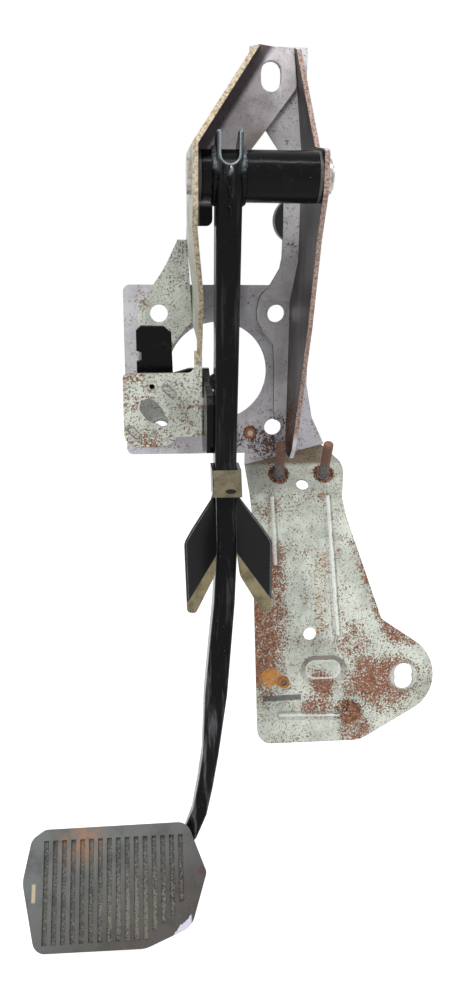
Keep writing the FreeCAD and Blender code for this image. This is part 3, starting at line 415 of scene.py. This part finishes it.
class Zinc(Look):
    """Old zinc plating: clouded and finely pitted, with speckled rust that is denser at some places."""

    def __init__(self, name, pale, dark, speckle):
        super().__init__(name)
        self.soften_edges(0.5 * MM)
        clouds = self.noise(24 * MM, 5, 0.6)
        streaks = self.noise(7 * MM, 5, 0.65, (1, 1, 0.3), 0.3)
        self.base = self.mix(self.step(clouds, 0.38, 0.72), pale, dark)
        self.base = self.mix(self.product(self.step(streaks, 0.46, 0.72), 0.45), self.base, dark)
        self.fine = self.noise(1.1 * MM, 5, 0.72, shift=0.9)
        self.broad = self.noise(11 * MM, 5, 0.66, shift=1.7)
        pits = self.step(self.math("ADD", self.noise(0.9 * MM, 4, 0.7, shift=4.0),
                                   self.product(self.broad, 0.35)), 0.80, 0.84)
        self.base = self.mix(self.product(pits, 0.75), self.base, PIT_GREY)
        self.rust = 0.0
        self.rust_patch(speckle)
        self.bump(self.noise(1.4 * MM, 4, 0.6, shift=3.0), 0.22, 0.12 * MM)

    def rust_patch(self, cover, within=None, colours=(RUST_BROWN, RUST_RED)):
        """Speckled rust: cover says how much of the surface it takes, within narrows it to a part."""
        field = self.math("ADD", self.product(self.fine, 1.15), self.product(self.broad, 0.34))
        if within is not None:
            field = self.math("ADD", field, self.product(self.math("SUBTRACT", within, 1.0), 0.5))
        amount = self.step(field, 0.90 - cover, 0.94 - cover)
        grain = self.noise(1.9 * MM, 5, 0.7, shift=2.1)
        self.base = self.mix(amount, self.base, self.mix(self.step(grain, 0.4, 0.62), *colours))
        self.rust = self.most(self.rust, amount)

    def tint(self, amount, shade):
        """Lays another colour over a part of the surface."""
        self.base = self.mix(amount, self.base, shade)

    def done(self):
        self.bump(self.product(self.rust, self.fine), 0.7, 0.3 * MM)
        return self.finish(self.base, self.step(self.rust, 0, 1, 0.45, 0.9), 0.0, Specular_IOR_Level=0.16)


def on_apron(across, down):
    """A place on the lower bracket's long face, in metres, from millimetres along it."""
    return (across * MM, (APRON_START[0] - math.sin(APRON_TILT) * down) * MM,
            (APRON_START[1] - math.cos(APRON_TILT) * down) * MM)


def rust_bracket(look, across, down):
    """Rust down the bracket's left side, round its ear, along its slanted rim and at single spots."""
    left = look.product(look.step(across, 32, 64, 1.0, 0.0), look.band(down, 40, 116, 36))
    look.rust_patch(0.255, left)
    ear = look.product(look.near(on_apron(104, 122), 10 * MM, 52 * MM), look.step(down, 84, 112))
    look.rust_patch(0.235, ear)
    look.rust_patch(0.30, look.near(on_apron(83, 143), 5 * MM, 14 * MM), (RUST_DARK, RUST_RED))
    slanted = look.math("SUBTRACT", across, look.product(down, 0.36))
    rim = look.product(look.step(slanted, 56, 76), look.band(down, 34, 96, 14))
    look.rust_patch(0.22, rim)
    middle = look.product(look.band(across, 62, 67, 9), look.band(down, 42, 88, 22))
    look.rust_patch(0.15, middle, (RUST_BROWN, RUST_ORANGE))
    for place, size, cover in BRACKET_RUST:
        look.rust_patch(cover, look.near(on_apron(*place), size * 0.1 * MM, size * 1.2 * MM))
    orange = look.near(on_apron(33, 119), 3 * MM, 11 * MM)
    look.rust_patch(0.27, orange, (RUST_ORANGE, RUST_YELLOW))
    for stud in SHELF_STUDS:
        centre = tuple(part * MM for part in stud)
        look.rust_patch(0.34, look.near(centre, 5.0 * MM, 5.0 * MM), (RUST_DARK, RUST_RED))


def shade_pressings(look, across, down):
    """Light and shade at the ribs, the recess and the ear's ring, which are shallow in the solid."""
    for start, end in RIBS:
        for low, high, amount, shade in ((-1.4, 0.4, 0.75, RIB_BRIGHT), (1.3, 2.0, 0.45, RIB_SHADE),
                                         (-3.4, -2.8, 0.35, RIB_SHADE)):
            look.tint(look.product(look.line(across, down, start, end, low, high), amount), shade)
    level = look.math("SUBTRACT", down, RECESS[1])
    away = look.oblong(look.math("SUBTRACT", across, RECESS[0]), level, (1, 0), RECESS_HALF_LENGTH)
    wall = look.band(away, 6.8, 9.6, 0.8)
    look.tint(look.product(wall, look.step(level, -9, 6, 0.75, 0.25)), RECESS_SHADE)
    look.tint(look.product(look.band(away, 5.4, 6.0, 0.5), 0.7), RECESS_RIM)
    look.tint(look.product(look.ring(EAR_SLOT, 9.5 * MM, 1.0 * MM), 0.6), EAR_RING)
    look.tint(look.product(look.near(EAR_SLOT, 8.5 * MM, 0.6 * MM), 0.7), EAR_FLOOR)


def bracket_look(name):
    """The lower bracket: pale, with heavy rust down its left side and round its ear."""
    look = Zinc(name, ZINC_GREEN, ZINC_GREEN_DARK, 0.085)
    across, _, up = look.millimetres()
    down = look.product(look.along((0, 0, -1 / MM), on_apron(0, 0)), 1 / math.cos(APRON_TILT))
    rust_bracket(look, across, down)
    stain = look.line(across, down, *STAIN_ENDS, -1.6, 1.6)
    look.tint(look.product(stain, 0.85), STAIN_GREY)
    fold = look.product(look.step(up, -61.0, -58.5), look.step(across, 62, 76, 1.0, 0.3))
    look.tint(look.product(fold, 0.85), FOLD_BROWN)
    shade_pressings(look, across, down)
    look.tint(look.product(look.edges(1.0 * MM), look.step(look.fine, 0.42, 0.6)), RUST_BROWN)
    return look.done()


def tint_bridge(look, across, back, up):
    """The left plate's lilac bridge, painted shade that turns its toe black, and the shade in its fold to the
    slanted web.
    """
    bridge = look.product(look.step(back, -36, -33.5), look.step(up, 80, 84), look.facing((0, -1, 0)))
    lilac = look.mix(look.step(look.broad, 0.4, 0.6), BRIDGE_LILAC, BRIDGE_LILAC_DARK)
    look.tint(look.product(bridge, 0.9), lilac)
    stain = look.near(BRIDGE_STAIN_PLACE, 4 * MM, 10 * MM)
    look.tint(look.product(bridge, stain, 0.5), BRIDGE_STAIN)
    # painted shade: the toe under the tube is darkened to near black
    toe = look.product(look.step(back, -36, -33.5), look.step(up, 94, 99, 1.0, 0.0),
                       look.step(across, -14, -12))
    look.tint(toe, TOE_SHADE_BLACK)
    rise = look.math("MAXIMUM", look.math("SUBTRACT", up, KINK_HEIGHT), 0.0)
    from_web = look.math("SUBTRACT", look.math("SUBTRACT", across, LEFT_WEB),
                         look.product(rise, math.tan(KINK)))
    # painted shade in the fold between the bridge and the slanted web
    fold = look.product(bridge, look.step(from_web, 5.0, 9.5, 1.0, 0.0), look.step(up, 96, 104))
    look.tint(look.product(fold, 0.93), INSIDE_SHADE_PLUM)


def tint_left_web(look, back, up):
    """The left plate's web: painted shade on its inside, plum dark above and grey below, and tan on its outside.
    """
    inside = look.facing((1, 0, 0))
    under = look.facing((math.cos(KINK), 0, -math.sin(KINK)))
    # painted shade on the web's inside and underside, plum dark above and grey below
    upper = look.product(look.most(inside, under), look.step(up, 60, 95))
    look.tint(look.product(upper, 0.95), INSIDE_SHADE_PLUM)
    lower = look.product(inside, look.step(up, 95, 60), look.step(back, -100, -20, 0.6, 0.2))
    look.tint(lower, INSIDE_SHADE_GREY)
    outside = look.product(look.facing((-1, 0, 0)), look.step(back, -30, -45), look.step(up, 10, 40))
    clouds = look.noise(5 * MM, 6, 0.72, (1, 1, 0.7), 0.5)
    tan = look.mix(look.step(clouds, 0.42, 0.6), OUTSIDE_TAN, OUTSIDE_TAN_DARK)
    look.tint(look.product(outside, look.step(up, 100, 70), 0.55), tan)


def tint_switch_plate(look, across, back, up):
    """The plate for the lamp switch: spots of rust, rings at its small holes and painted shade in and round its
    dents.
    """
    plate = look.step(back, -58, -61)
    for spot, radius, cover in SWITCH_PLATE_RUST:
        look.rust_patch(cover, look.product(plate, look.near(spot, radius * 0.25 * MM, radius * MM)))
    look.rust_patch(0.12, look.product(plate, look.step(up, 24, 20)))
    for spot in LOCATING_HOLES:
        look.tint(look.product(plate, look.ring(spot, 2.9 * MM, 0.6 * MM), 0.6), HOLE_RING)
    # painted shade: a darker floor in each dent and a dark line round it
    for spot in DENTS:
        look.tint(look.product(plate, look.near(spot, 3.6 * MM, 0.5 * MM), 0.25), DENT_FLOOR_SHADE)
        aside = look.math("SUBTRACT", across, spot[0] / MM)
        above = look.math("SUBTRACT", up, spot[2] / MM)
        away = look.oblong(aside, above, DENT_SLANT, DENT_HALF_LENGTH)
        look.tint(look.product(plate, look.band(away, 1.7, 2.1, 0.3), 0.6), DENT_RIM_SHADE)


def foot_only(look):
    """1 on what lies on the firewall plate, and 0 in front of it."""
    return look.step(look.along((0, 1 / MM, 0)), -7, -5.5)


def tint_left_foot(look, across, back, up):
    """The left plate's foot: pitted and dull above, and in the shade of the switch plate below."""
    foot = look.product(look.step(back, -6, -4.5), look.step(up, 25, 55),
                        look.step(across, -26, -36, 1.0, 0.6))
    look.rust_patch(0.24, foot, (PIT_GREY, RUST_DARK))
    near_wall = look.step(back, -8, -6)
    look.tint(look.product(near_wall, look.step(up, 30, 66), 0.35), FOOT_DULL)
    look.tint(look.product(near_wall, look.band(up, -30, 14, 6), 0.72), FOOT_SHADE)
    for level in (-STUD_HOLE, STUD_HOLE):
        hole = (-STUD_HOLE * MM, 0, level * MM)
        look.tint(look.product(look.ring(hole, 7.4 * MM, 1.2 * MM), foot_only(look), 0.5), FOOT_RING)


def left_plate_look(name):
    """The left side plate: pale feet, a lilac bridge, painted shade on its inside and cream cut edges."""
    look = Zinc(name, ZINC_GREEN, ZINC_GREEN_DARK, 0.07)
    across, back, up = look.millimetres()
    tint_bridge(look, across, back, up)
    tint_left_web(look, back, up)
    tint_switch_plate(look, across, back, up)
    tint_left_foot(look, across, back, up)
    cut = look.product(look.facing((0, -1, 0)), look.step(back, -36, -42), look.step(up, 12, 20))
    grain = look.noise(1.5 * MM, 5, 0.72, shift=1.2)
    cream = look.mix(look.step(grain, 0.40, 0.62), CUT_CREAM, CUT_CREAM_DARK)
    look.tint(look.product(cut, 0.92), cream)
    return look.done()


def right_plate_look(name):
    """The right side plate: a lilac flange, painted shade on the web's inside and a pink speckled cut edge."""
    look = Zinc(name, ZINC_LILAC, ZINC_LILAC_DARK, 0.02)
    _, back, up = look.millimetres()
    inside = look.facing((-1, 0, 0))
    # painted shade on the web's inside, in streaky bands, darkest towards the front
    streaks = look.noise(9 * MM, 6, 0.7, (1, 1, 0.16))
    shade = look.mix(look.step(streaks, 0.4, 0.62), WEB_SHADE_DARK, WEB_SHADE_GREY)
    look.tint(look.product(inside, 0.97), shade)
    look.tint(look.product(inside, look.step(back, -38, -70), 0.75), WEB_SHADE_BLACK)
    look.rust_patch(0.22, look.product(inside, look.step(up, 20, -25)), (RUST_DARK, RUST_BROWN))
    # painted highlight: light lines on the pressed rings round the stud holes
    for radius, depth in ((7.6, 0.55), (10.6, 0.4)):
        for level in (-STUD_HOLE, STUD_HOLE):
            ring = look.ring((STUD_HOLE * MM, 0, level * MM), radius * MM, 0.7 * MM)
            look.tint(look.product(ring, foot_only(look), depth), RING_HIGHLIGHT)
    score = look.product(look.near(SCORE_PLACE, 7 * MM, 1 * MM), look.band(up, 46.6, 47.6, 0.4),
                         foot_only(look))
    look.tint(look.product(score, 0.8), SCORE_BRIGHT)
    flange = look.product(look.step(back, -34, -31), look.step(up, 60, 75))
    look.rust_patch(0.05, flange, (PIT_GREY, PIT_GREY))
    low = look.product(foot_only(look), look.step(up, -5, -30))
    look.rust_patch(0.14, low, (PIT_GREY, RUST_DARK))
    cut = look.product(look.facing((0, -1, 0)), look.step(back, -33, -37))
    grain = look.noise(1.1 * MM, 4, 0.72, shift=1.2)
    pink = look.mix(look.step(grain, 0.42, 0.60), CUT_PINK, CUT_PINK_DARK)
    look.tint(look.product(cut, 0.95), pink)
    return look.done()


def firewall_look(name):
    """The firewall plate: lilac grey, finely pitted, with rust at the rivet and low on the right."""
    look = Zinc(name, FIREWALL_LILAC, FIREWALL_LILAC_DARK, 0.05)
    across, _, up = look.millimetres()
    look.rust_patch(0.45, look.near(RIVET_FOOT, 3.6 * MM, 1.6 * MM))
    for spot, size, cover in FIREWALL_PITS:
        look.rust_patch(cover, look.near(spot, 6 * MM, size * MM), (PIT_GREY, RUST_BROWN))
    look.tint(look.product(look.step(across, -46, -55), look.step(up, -10, 20), 0.35), FIREWALL_GREEN)
    shade = look.product(look.band(across, -14, 14, 5), look.step(up, 25, 40), 0.5)
    look.tint(shade, FIREWALL_SHADE)
    look.tint(look.product(look.edges(1.0 * MM), 0.4), ZINC_LILAC_DARK)
    return look.done()


def black_paint_look(name, dust, bare=None):
    """Glossy black dip paint with runs, fine dust, small chips and edges that shine, with a painted sheen along
    them.

    With a bare place, given as its centre, radius and fade, the edges there are worn to the steel, and
    painted streaks of reflected light run down the piece.
    """
    look = Look(name)
    look.soften_edges(1.3 * MM)
    dusty = look.product(look.step(look.noise(5 * MM, 6, 0.7), 0.55, 0.85), dust)
    base = look.mix(dusty, PAINT_BLACK, PAINT_DUST)
    specks = look.step(look.noise(0.8 * MM, 3, 0.6, shift=0.6), 0.70, 0.74)
    patches = look.step(look.noise(16 * MM, 4, 0.6, shift=0.2), 0.44, 0.62)
    base = look.mix(look.product(specks, patches, 0.8), base, CHIP_GREY)
    # painted reflection: the edges are lightened unevenly, as a sheen
    uneven = look.step(look.noise(5 * MM, 5, 0.7, shift=0.4), 0.50, 0.68)
    edge_sheen = look.product(look.edges(0.9 * MM), uneven)
    base = look.mix(look.product(edge_sheen, 0.35), base, EDGE_SHEEN_GREY)
    metal = 0.0
    if bare is not None:
        # painted reflection: lighter streaks run down the piece, strongest low down
        low = look.step(look.along((0, 0, 1 / MM)), -90, -190, 0.35, 1.0)
        streaks = look.step(look.noise(3.2 * MM, 4, 0.6, (1, 0.4, 0.07), 0.8), 0.50, 0.72)
        base = look.mix(look.product(streaks, low, 0.8), base, STREAK_SHEEN_GREY)
        worn = look.product(look.edges(2.0 * MM, 0.12), look.near(*bare))
        base = look.mix(worn, base, WORN_STEEL)
        metal = look.product(worn, 0.6)
    look.bump(look.noise(6 * MM, 3, 0.5, (1, 1, 0.2), 1.1), 0.45, 0.8 * MM)
    look.bump(look.noise(1.1 * MM, 3, 0.5, shift=0.4), 0.12, 0.08 * MM)
    rough = look.math("ADD", 0.12, look.product(look.noise(5 * MM, 5, 0.6, shift=2.0), 0.16))
    return look.finish(base, rough, metal, Specular_IOR_Level=0.09)


def rusty_look(name):
    """Steel that has rusted all over."""
    look = Look(name)
    grain = look.noise(1.6 * MM, 6, 0.7)
    blotches = look.noise(6 * MM, 4, 0.6, shift=0.6)
    base = look.mix(look.step(grain, 0.35, 0.65), RUST_BROWN, RUST_ORANGE)
    base = look.mix(look.step(blotches, 0.55, 0.7), base, RUST_DARK)
    look.bump(grain, 0.7, 0.25 * MM)
    return look.finish(base, look.step(grain, 0.3, 0.7, 0.6, 0.9), 0.15)


def steel_look(name):
    """Dull bare steel with turning marks and stains."""
    look = Look(name)
    stains = look.step(look.noise(5 * MM, 5, 0.65), 0.45, 0.65)
    base = look.mix(look.product(stains, 0.7), STEEL, STEEL_STAIN)
    look.bump(look.noise(0.7 * MM, 3, 0.6), 0.3, 0.06 * MM)
    return look.finish(base, look.step(stains, 0, 1, 0.3, 0.6), 0.9)


def rubber_look(name, grey=0.014):
    """Matt black rubber with a little dust."""
    look = Look(name)
    dusty = look.step(look.noise(6 * MM, 6, 0.7), 0.45, 0.75)
    base = look.mix(look.product(dusty, 0.6), (grey, grey, grey), (grey * 4, grey * 3.8, grey * 3.5))
    look.bump(look.noise(0.8 * MM, 4, 0.6), 0.35, 0.1 * MM)
    return look.finish(base, look.step(dusty, 0, 1, 0.5, 0.8), 0.0)


def plastic_look(name):
    """Dark moulded plastic."""
    look = Look(name)
    clouds = look.noise(4 * MM, 4, 0.6)
    base = look.mix(look.step(clouds, 0.4, 0.7), PLASTIC_DARK, PLASTIC_WORN)
    look.bump(look.noise(0.6 * MM, 3, 0.5), 0.2, 0.05 * MM)
    return look.finish(base, look.step(clouds, 0.3, 0.7, 0.35, 0.6), 0.0)


def fill_grooves(look, base, grit):
    """Dark grooves with pale crumbs in them, of which more lie where the pad is worn."""
    groove = look.step(look.along(PAD_INWARD / MM, PAD_MIDDLE), 0.6, 1.5)
    worn = look.near(GROOVE_WEAR, 6 * MM, 26 * MM)
    crumbs = look.step(look.math("ADD", grit, look.product(worn, 0.09)), 0.50, 0.60)
    base = look.mix(look.product(groove, 0.5), base, GROOVE_DARK)
    return look.mix(look.product(groove, crumbs, 0.75), base, GROOVE_CRUMBS)


def mark_pad(look, base, across, down):
    """The pad's rust stain, cream mark, dark spots and torn corner."""
    drips = look.step(look.noise(3.4 * MM, 5, 0.7, (1, 1, 0.22), 0.9), 0.38, 0.6)
    stain = look.product(look.near(PAD_RUST, 3 * MM, 13 * MM), drips)
    base = look.mix(look.product(stain, 0.6), base, PAD_STAIN)
    strip = look.product(look.band(across, -41.0, -39.6, 0.4), look.band(down, -2.4, 3.2, 0.8))
    base = look.mix(look.product(strip, 0.85), base, PAD_CREAM)
    for spot, size in PAD_SPOTS:
        base = look.mix(look.product(look.near(spot, size * MM, 1.8 * MM), 0.6), base, PAD_SPOT)
    rim = look.math("ADD", look.product(across, 0.62), look.product(down, 0.95))
    ragged = look.product(look.noise(3 * MM, 4, 0.6), 3.0)
    torn = look.product(look.step(look.math("ADD", rim, ragged), 35.2, 35.5),
                        look.band(across, 28.5, 37.5, 0.8))
    return look.mix(torn, base, PAD_TORN)


def pad_look(name):
    """Worn grey rubber: dusty, with grit in its grooves, a rust stain and a torn corner."""
    look = Look(name)
    look.soften_edges(0.4 * MM)
    clouds = look.noise(15 * MM, 6, 0.66)
    across = look.along((1 / MM, 0, 0), PAD_MIDDLE)
    down = look.along((0, 0, -1 / MM), PAD_MIDDLE)
    slant = look.math("ADD", look.product(across, 0.5), look.product(down, 1.0))
    base = look.mix(look.step(slant, -26, 26), PAD_GREY, PAD_BROWN)
    base = look.mix(look.product(look.step(clouds, 0.42, 0.70), 0.5), base, PAD_DARK)
    grit = look.noise(0.9 * MM, 6, 0.75, shift=0.6)
    base = look.mix(look.product(look.step(grit, 0.54, 0.70), 0.4), base, PAD_GRIT)
    base = fill_grooves(look, base, grit)
    base = mark_pad(look, base, across, down)
    look.bump(look.noise(4 * MM, 5, 0.65, (1, 1, 0.3), 0.7), 0.5, 0.4 * MM)
    look.bump(grit, 0.5, 0.25 * MM)
    return look.finish(base, look.step(clouds, 0.3, 0.7, 0.5, 0.75), 0.0, Specular_IOR_Level=0.25)


def saddle_look(name):
    """A tan cap over two wings that are black but for a tan band at their inner lower edge."""
    look = Look(name)
    look.soften_edges(0.5 * MM)
    clouds = look.noise(8 * MM, 5, 0.65)
    tan = look.mix(look.step(clouds, 0.4, 0.65), OLIVE, OLIVE_DARK)
    grit = look.step(look.noise(0.9 * MM, 4, 0.7, shift=0.5), 0.54, 0.66)
    tan = look.mix(look.product(grit, 0.45), tan, OLIVE_GRIT)
    up = look.along((0, 0, 1 / MM))
    across = look.along((1 / MM, 0, 0), (SADDLE_MIDDLE * MM, 0, 0))
    spread = look.math("ABSOLUTE", across)
    ragged = look.product(look.noise(4 * MM, 4, 0.6, shift=1.4), 3.0)
    cap = look.product(look.step(up, -47.6, -46.9), look.step(look.math("ADD", across, ragged), -6.0, -5.2),
                       look.facing((0, -0.9, -0.43)))
    aside = look.product(look.math("SUBTRACT", across, SADDLE_SLOT[0]), 1 / SADDLE_SLOT_HALF[0])
    above = look.product(look.math("SUBTRACT", up, SADDLE_SLOT[1]), 1 / SADDLE_SLOT_HALF[1])
    oval = look.math("ADD", look.product(aside, aside), look.product(above, above))
    slot = look.step(oval, 0.85, 1.2, 1.0, 0.0)
    edge = look.math("SUBTRACT", look.product(up, -1.0), look.product(spread, 1.15))
    band = look.product(look.step(edge, 70, 71), look.step(look.noise(3 * MM, 4, 0.6), 0.24, 0.34))
    tanned = look.most(look.product(cap, look.inverse(slot)), look.product(band, 0.9))
    base = look.mix(tanned, PAINT_BLACK, tan)
    # painted reflection: a grey-blue sheen on the wings' lower rims
    rim = look.product(look.edges(0.8 * MM), look.step(up, -50, -54), 0.7)
    base = look.mix(look.product(rim, look.inverse(tanned)), base, RIM_REFLECTION_GREY)
    look.bump(look.noise(1.2 * MM, 4, 0.6), 0.3, 0.12 * MM)
    return look.finish(base, look.step(tanned, 0, 1, 0.24, 0.62), 0.0, Specular_IOR_Level=0.22)


def stud_look(name, foot):
    """A threaded stud: grey near its foot, rusty towards its tip."""
    look = Look(name)
    length = look.along(STUD_AXIS / MM, tuple(part * MM for part in foot))
    grain = look.noise(1.6 * MM, 6, 0.7)
    rust = look.mix(look.step(grain, 0.35, 0.65), RUST_BROWN, STUD_RUST)
    grey = look.mix(look.step(grain, 0.4, 0.65), STUD_GREY, STUD_GREY_DARK)
    aged = look.step(look.math("ADD", length, look.product(look.noise(6 * MM, 4, 0.6), 14)), 17, 27)
    base = look.mix(aged, grey, rust)
    thread = look.math("SINE", look.product(length, 2 * math.pi))
    base = look.mix(look.step(thread, -1, 0.2, 0.65, 0.0), base, RUST_DARK)
    look.bump(thread, 0.9, 0.35 * MM)
    look.bump(grain, 0.5, 0.2 * MM)
    return look.finish(base, look.step(grain, 0.3, 0.7, 0.5, 0.85), look.step(aged, 0, 1, 0.5, 0.1))


def rivet_look(name):
    """A rusty rivet whose middle is brighter."""
    look = Look(name)
    grain = look.noise(1.2 * MM, 6, 0.7)
    base = look.mix(look.step(grain, 0.35, 0.65), RUST_BROWN, RUST_ORANGE)
    middle = look.near(RIVET_HEAD, 1.5 * MM, 0.6 * MM)
    base = look.mix(middle, base, RIVET_BRIGHT)
    look.bump(look.ring(RIVET_FOOT, 2.0 * MM, 0.6 * MM), 0.8, 0.4 * MM)
    look.bump(grain, 0.5, 0.2 * MM)
    return look.finish(base, look.step(grain, 0.3, 0.7, 0.5, 0.8), 0.1)


def dress_nodes():
    """Gives every solid its finish."""
    arm_paint = black_paint_look("arm_paint_look", 0.5, (FORK, 11 * MM, 4 * MM))
    paint = black_paint_look("black_paint_look", 0.8)
    steel = steel_look("bare_steel_look")
    bush = plastic_look("bush_look")
    looks = {
        "firewall_plate": firewall_look("firewall_look"),
        "right_side_plate": right_plate_look("right_plate_look"),
        "left_side_plate": left_plate_look("left_plate_look"),
        "throttle_bracket": bracket_look("bracket_look"),
        "firewall_gasket": rubber_look("gasket_look"),
        "rear_buffer": rubber_look("buffer_look", 0.01),
        "left_bush": bush,
        "right_bush": bush,
        "wing_saddle": saddle_look("saddle_look"),
        "pad_rubber": pad_look("pad_look"),
        "pedal_arm": arm_paint,
        "throttle_stud_left": stud_look("stud_look_left", SHELF_STUDS[0]),
        "throttle_stud_right": stud_look("stud_look_right", SHELF_STUDS[1]),
        "weld_nut": rusty_look("weld_nut_look"),
        "plate_rivet": rivet_look("rivet_look"),
    }
    for name in ("pivot_pin", "pivot_washer", "pivot_clip", "pivot_sleeve"):
        looks[name] = steel
    for name in ("pivot_tube", "pad_plate", "switch_lever", "pushrod_pin"):
        looks[name] = paint
    for name, material in looks.items():
        slots = nodes[name].data.materials
        slots.clear()
        slots.append(material)
    return arm_paint


def lumpy_bead(name, path, radius, seed):
    """A weld bead: a tube along a path that swells and shrinks from ripple to ripple."""
    sides = 10
    points, faces = [], []
    for index, place in enumerate(path):
        ahead = path[min(index + 1, len(path) - 1)] - path[max(index - 1, 0)]
        ahead.normalize()
        level = ahead.cross(Vector((1, 0, 0)))
        if level.length < 0.2:
            level = ahead.cross(Vector((0, 1, 0)))
        level.normalize()
        other = ahead.cross(level)
        end = min(index, len(path) - 1 - index) / 2
        swell = radius * min(1.0, 0.25 + end) * (1 + 0.18 * math.sin(index * 1.9 + seed)
                                                + 0.12 * math.sin(index * 0.73 + seed * 2))
        for side in range(sides):
            angle = 2 * math.pi * side / sides
            bulge = swell * (1 + 0.10 * math.sin(side * 2.1 + index * 0.9 + seed))
            points.append(place + (level * math.cos(angle) + other * math.sin(angle)) * bulge)
    for ring in range(len(path) - 1):
        for side in range(sides):
            after = (side + 1) % sides
            faces.append((ring * sides + side, ring * sides + after, (ring + 1) * sides + after,
                          (ring + 1) * sides + side))
    faces.append(tuple(reversed(range(sides))))
    faces.append(tuple((len(path) - 1) * sides + side for side in range(sides)))
    mesh = bpy.data.meshes.new(name)
    mesh.from_pydata(points, [], faces)
    for polygon in mesh.polygons:
        polygon.use_smooth = True
    bead = bpy.data.objects.new(name, mesh)
    bpy.context.scene.collection.objects.link(bead)
    return bead


BEAD_STEPS = 48
BEAD_LIFT = 0.5 * MM
ARM_LEFT = -8.6 * MM
ARM_RIGHT = 4.9 * MM
SEAM_START = Vector((-1.6, -98.3, 111.5)) * MM
SEAM_STEP = 0.8
SEAM_POINTS = 31


def weld_ring(name, across, first, last, seed):
    """The bead between the tube and one side of the arm, from one angle to another, above the front."""
    reach = TUBE_RADIUS + BEAD_LIFT
    path = []
    for index in range(BEAD_STEPS + 1):
        angle = math.radians(first + (last - first) * index / BEAD_STEPS)
        path.append(Vector((across, PIVOT.y - math.cos(angle) * reach, PIVOT.z + math.sin(angle) * reach)))
    return lumpy_bead(name, path, 1.5 * MM, seed)


def make_welds(material):
    """Beads where the arm meets the tube, and a run of weld down the arm's front."""
    beads = [weld_ring("weld_left_of_arm", ARM_LEFT, -88, 84, seed=0.4),
             weld_ring("weld_right_of_arm", ARM_RIGHT, -88, 84, seed=2.1)]
    seam = [SEAM_START + Vector((0.5 * math.sin(index * 0.8), -0.25 * math.sin(index * 1.1),
                                 -index * SEAM_STEP)) * MM for index in range(SEAM_POINTS)]
    beads.append(lumpy_bead("weld_seam", seam, 1.0 * MM, 1.3))
    for bead in beads:
        bead.data.materials.append(material)
        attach(bead, "pedal")


def make_floor():
    """A white floor below the part, which keeps the part's shadow."""
    level = cad_box[0][2] - FLOOR_DROP
    reach = FLOOR_HALF_WIDTH
    mesh = bpy.data.meshes.new("floor")
    sides = ((-1, -1), (1, -1), (1, 1), (-1, 1))
    corners = [(across * reach, back * reach, level) for across, back in sides]
    mesh.from_pydata(corners, [], [(0, 1, 2, 3)])
    floor = bpy.data.objects.new("floor", mesh)
    bpy.context.scene.collection.objects.link(floor)
    look = Look("floor_look")
    rays = look.tree.nodes.new("ShaderNodeLightPath").outputs
    seen = look.most(rays["Is Camera Ray"], rays["Is Glossy Ray"], rays["Is Transmission Ray"])
    speckle = look.step(look.noise(0.4, 3), 0.3, 0.7, 0.78, 0.80)
    shade = look.tree.nodes.new("ShaderNodeCombineColor")
    for key in ("Red", "Green", "Blue"):
        look.put(shade, key, speckle)
    look.finish(shade.outputs[0], 0.9, 0.0)
    look.put(look.shader, "Emission Color", (1.0, 1.0, 1.0, 1.0))
    look.put(look.shader, "Emission Strength", look.product(seen, FLOOR_LIFT))
    mesh.materials.append(look.material)


def make_world():
    """A white surround for the camera and for reflections, and softer light for the part."""
    world = bpy.data.worlds.new("world")
    world.use_nodes = True
    tree = world.node_tree
    tree.nodes.clear()
    rays = tree.nodes.new("ShaderNodeLightPath").outputs
    seen = rays["Is Camera Ray"]
    for key in ("Is Transmission Ray", "Is Glossy Ray"):
        either = tree.nodes.new("ShaderNodeMath")
        either.operation = "MAXIMUM"
        tree.links.new(seen, either.inputs[0])
        tree.links.new(rays[key], either.inputs[1])
        seen = either.outputs[0]
    level = tree.nodes.new("ShaderNodeMapRange")
    tree.links.new(seen, level.inputs["Value"])
    level.inputs["To Min"].default_value = WORLD_LIGHT
    level.inputs["To Max"].default_value = 1.0
    back = tree.nodes.new("ShaderNodeBackground")
    back.inputs["Color"].default_value = (1.0, 1.0, 1.0, 1.0)
    tree.links.new(level.outputs[0], back.inputs["Strength"])
    output = tree.nodes.new("ShaderNodeOutputWorld")
    tree.links.new(back.outputs[0], output.inputs["Surface"])
    bpy.context.scene.world = world


def make_lamp(name, place, target, size, power, length=None):
    """A soft lamp that faces a target: a square one, or with a length a strip that lies along X."""
    data = bpy.data.lights.new(name, "AREA")
    data.size = size
    if length is not None:
        data.shape = "RECTANGLE"
        data.size = length
        data.size_y = size
    data.energy = power
    lamp = bpy.data.objects.new(name, data)
    lamp.location = place
    lamp.rotation_euler = (Vector(target) - Vector(place)).to_track_quat("-Z", "Y").to_euler()
    bpy.context.scene.collection.objects.link(lamp)


make_camera()
make_world()
make_floor()
make_lamp("key_lamp", (-0.45, -0.95, 0.85), BOX_MIDDLE, size=0.25, power=6.0)
make_lamp("strip_lamp", (0.05, -0.55, 1.10), PIVOT, size=0.018, power=5.5, length=0.9)
make_lamp("side_lamp", (0.9, -0.6, 0.45), BOX_MIDDLE, size=0.4, power=1.4)
make_welds(dress_nodes())
bpy.context.scene.view_settings.view_transform = "Standard"
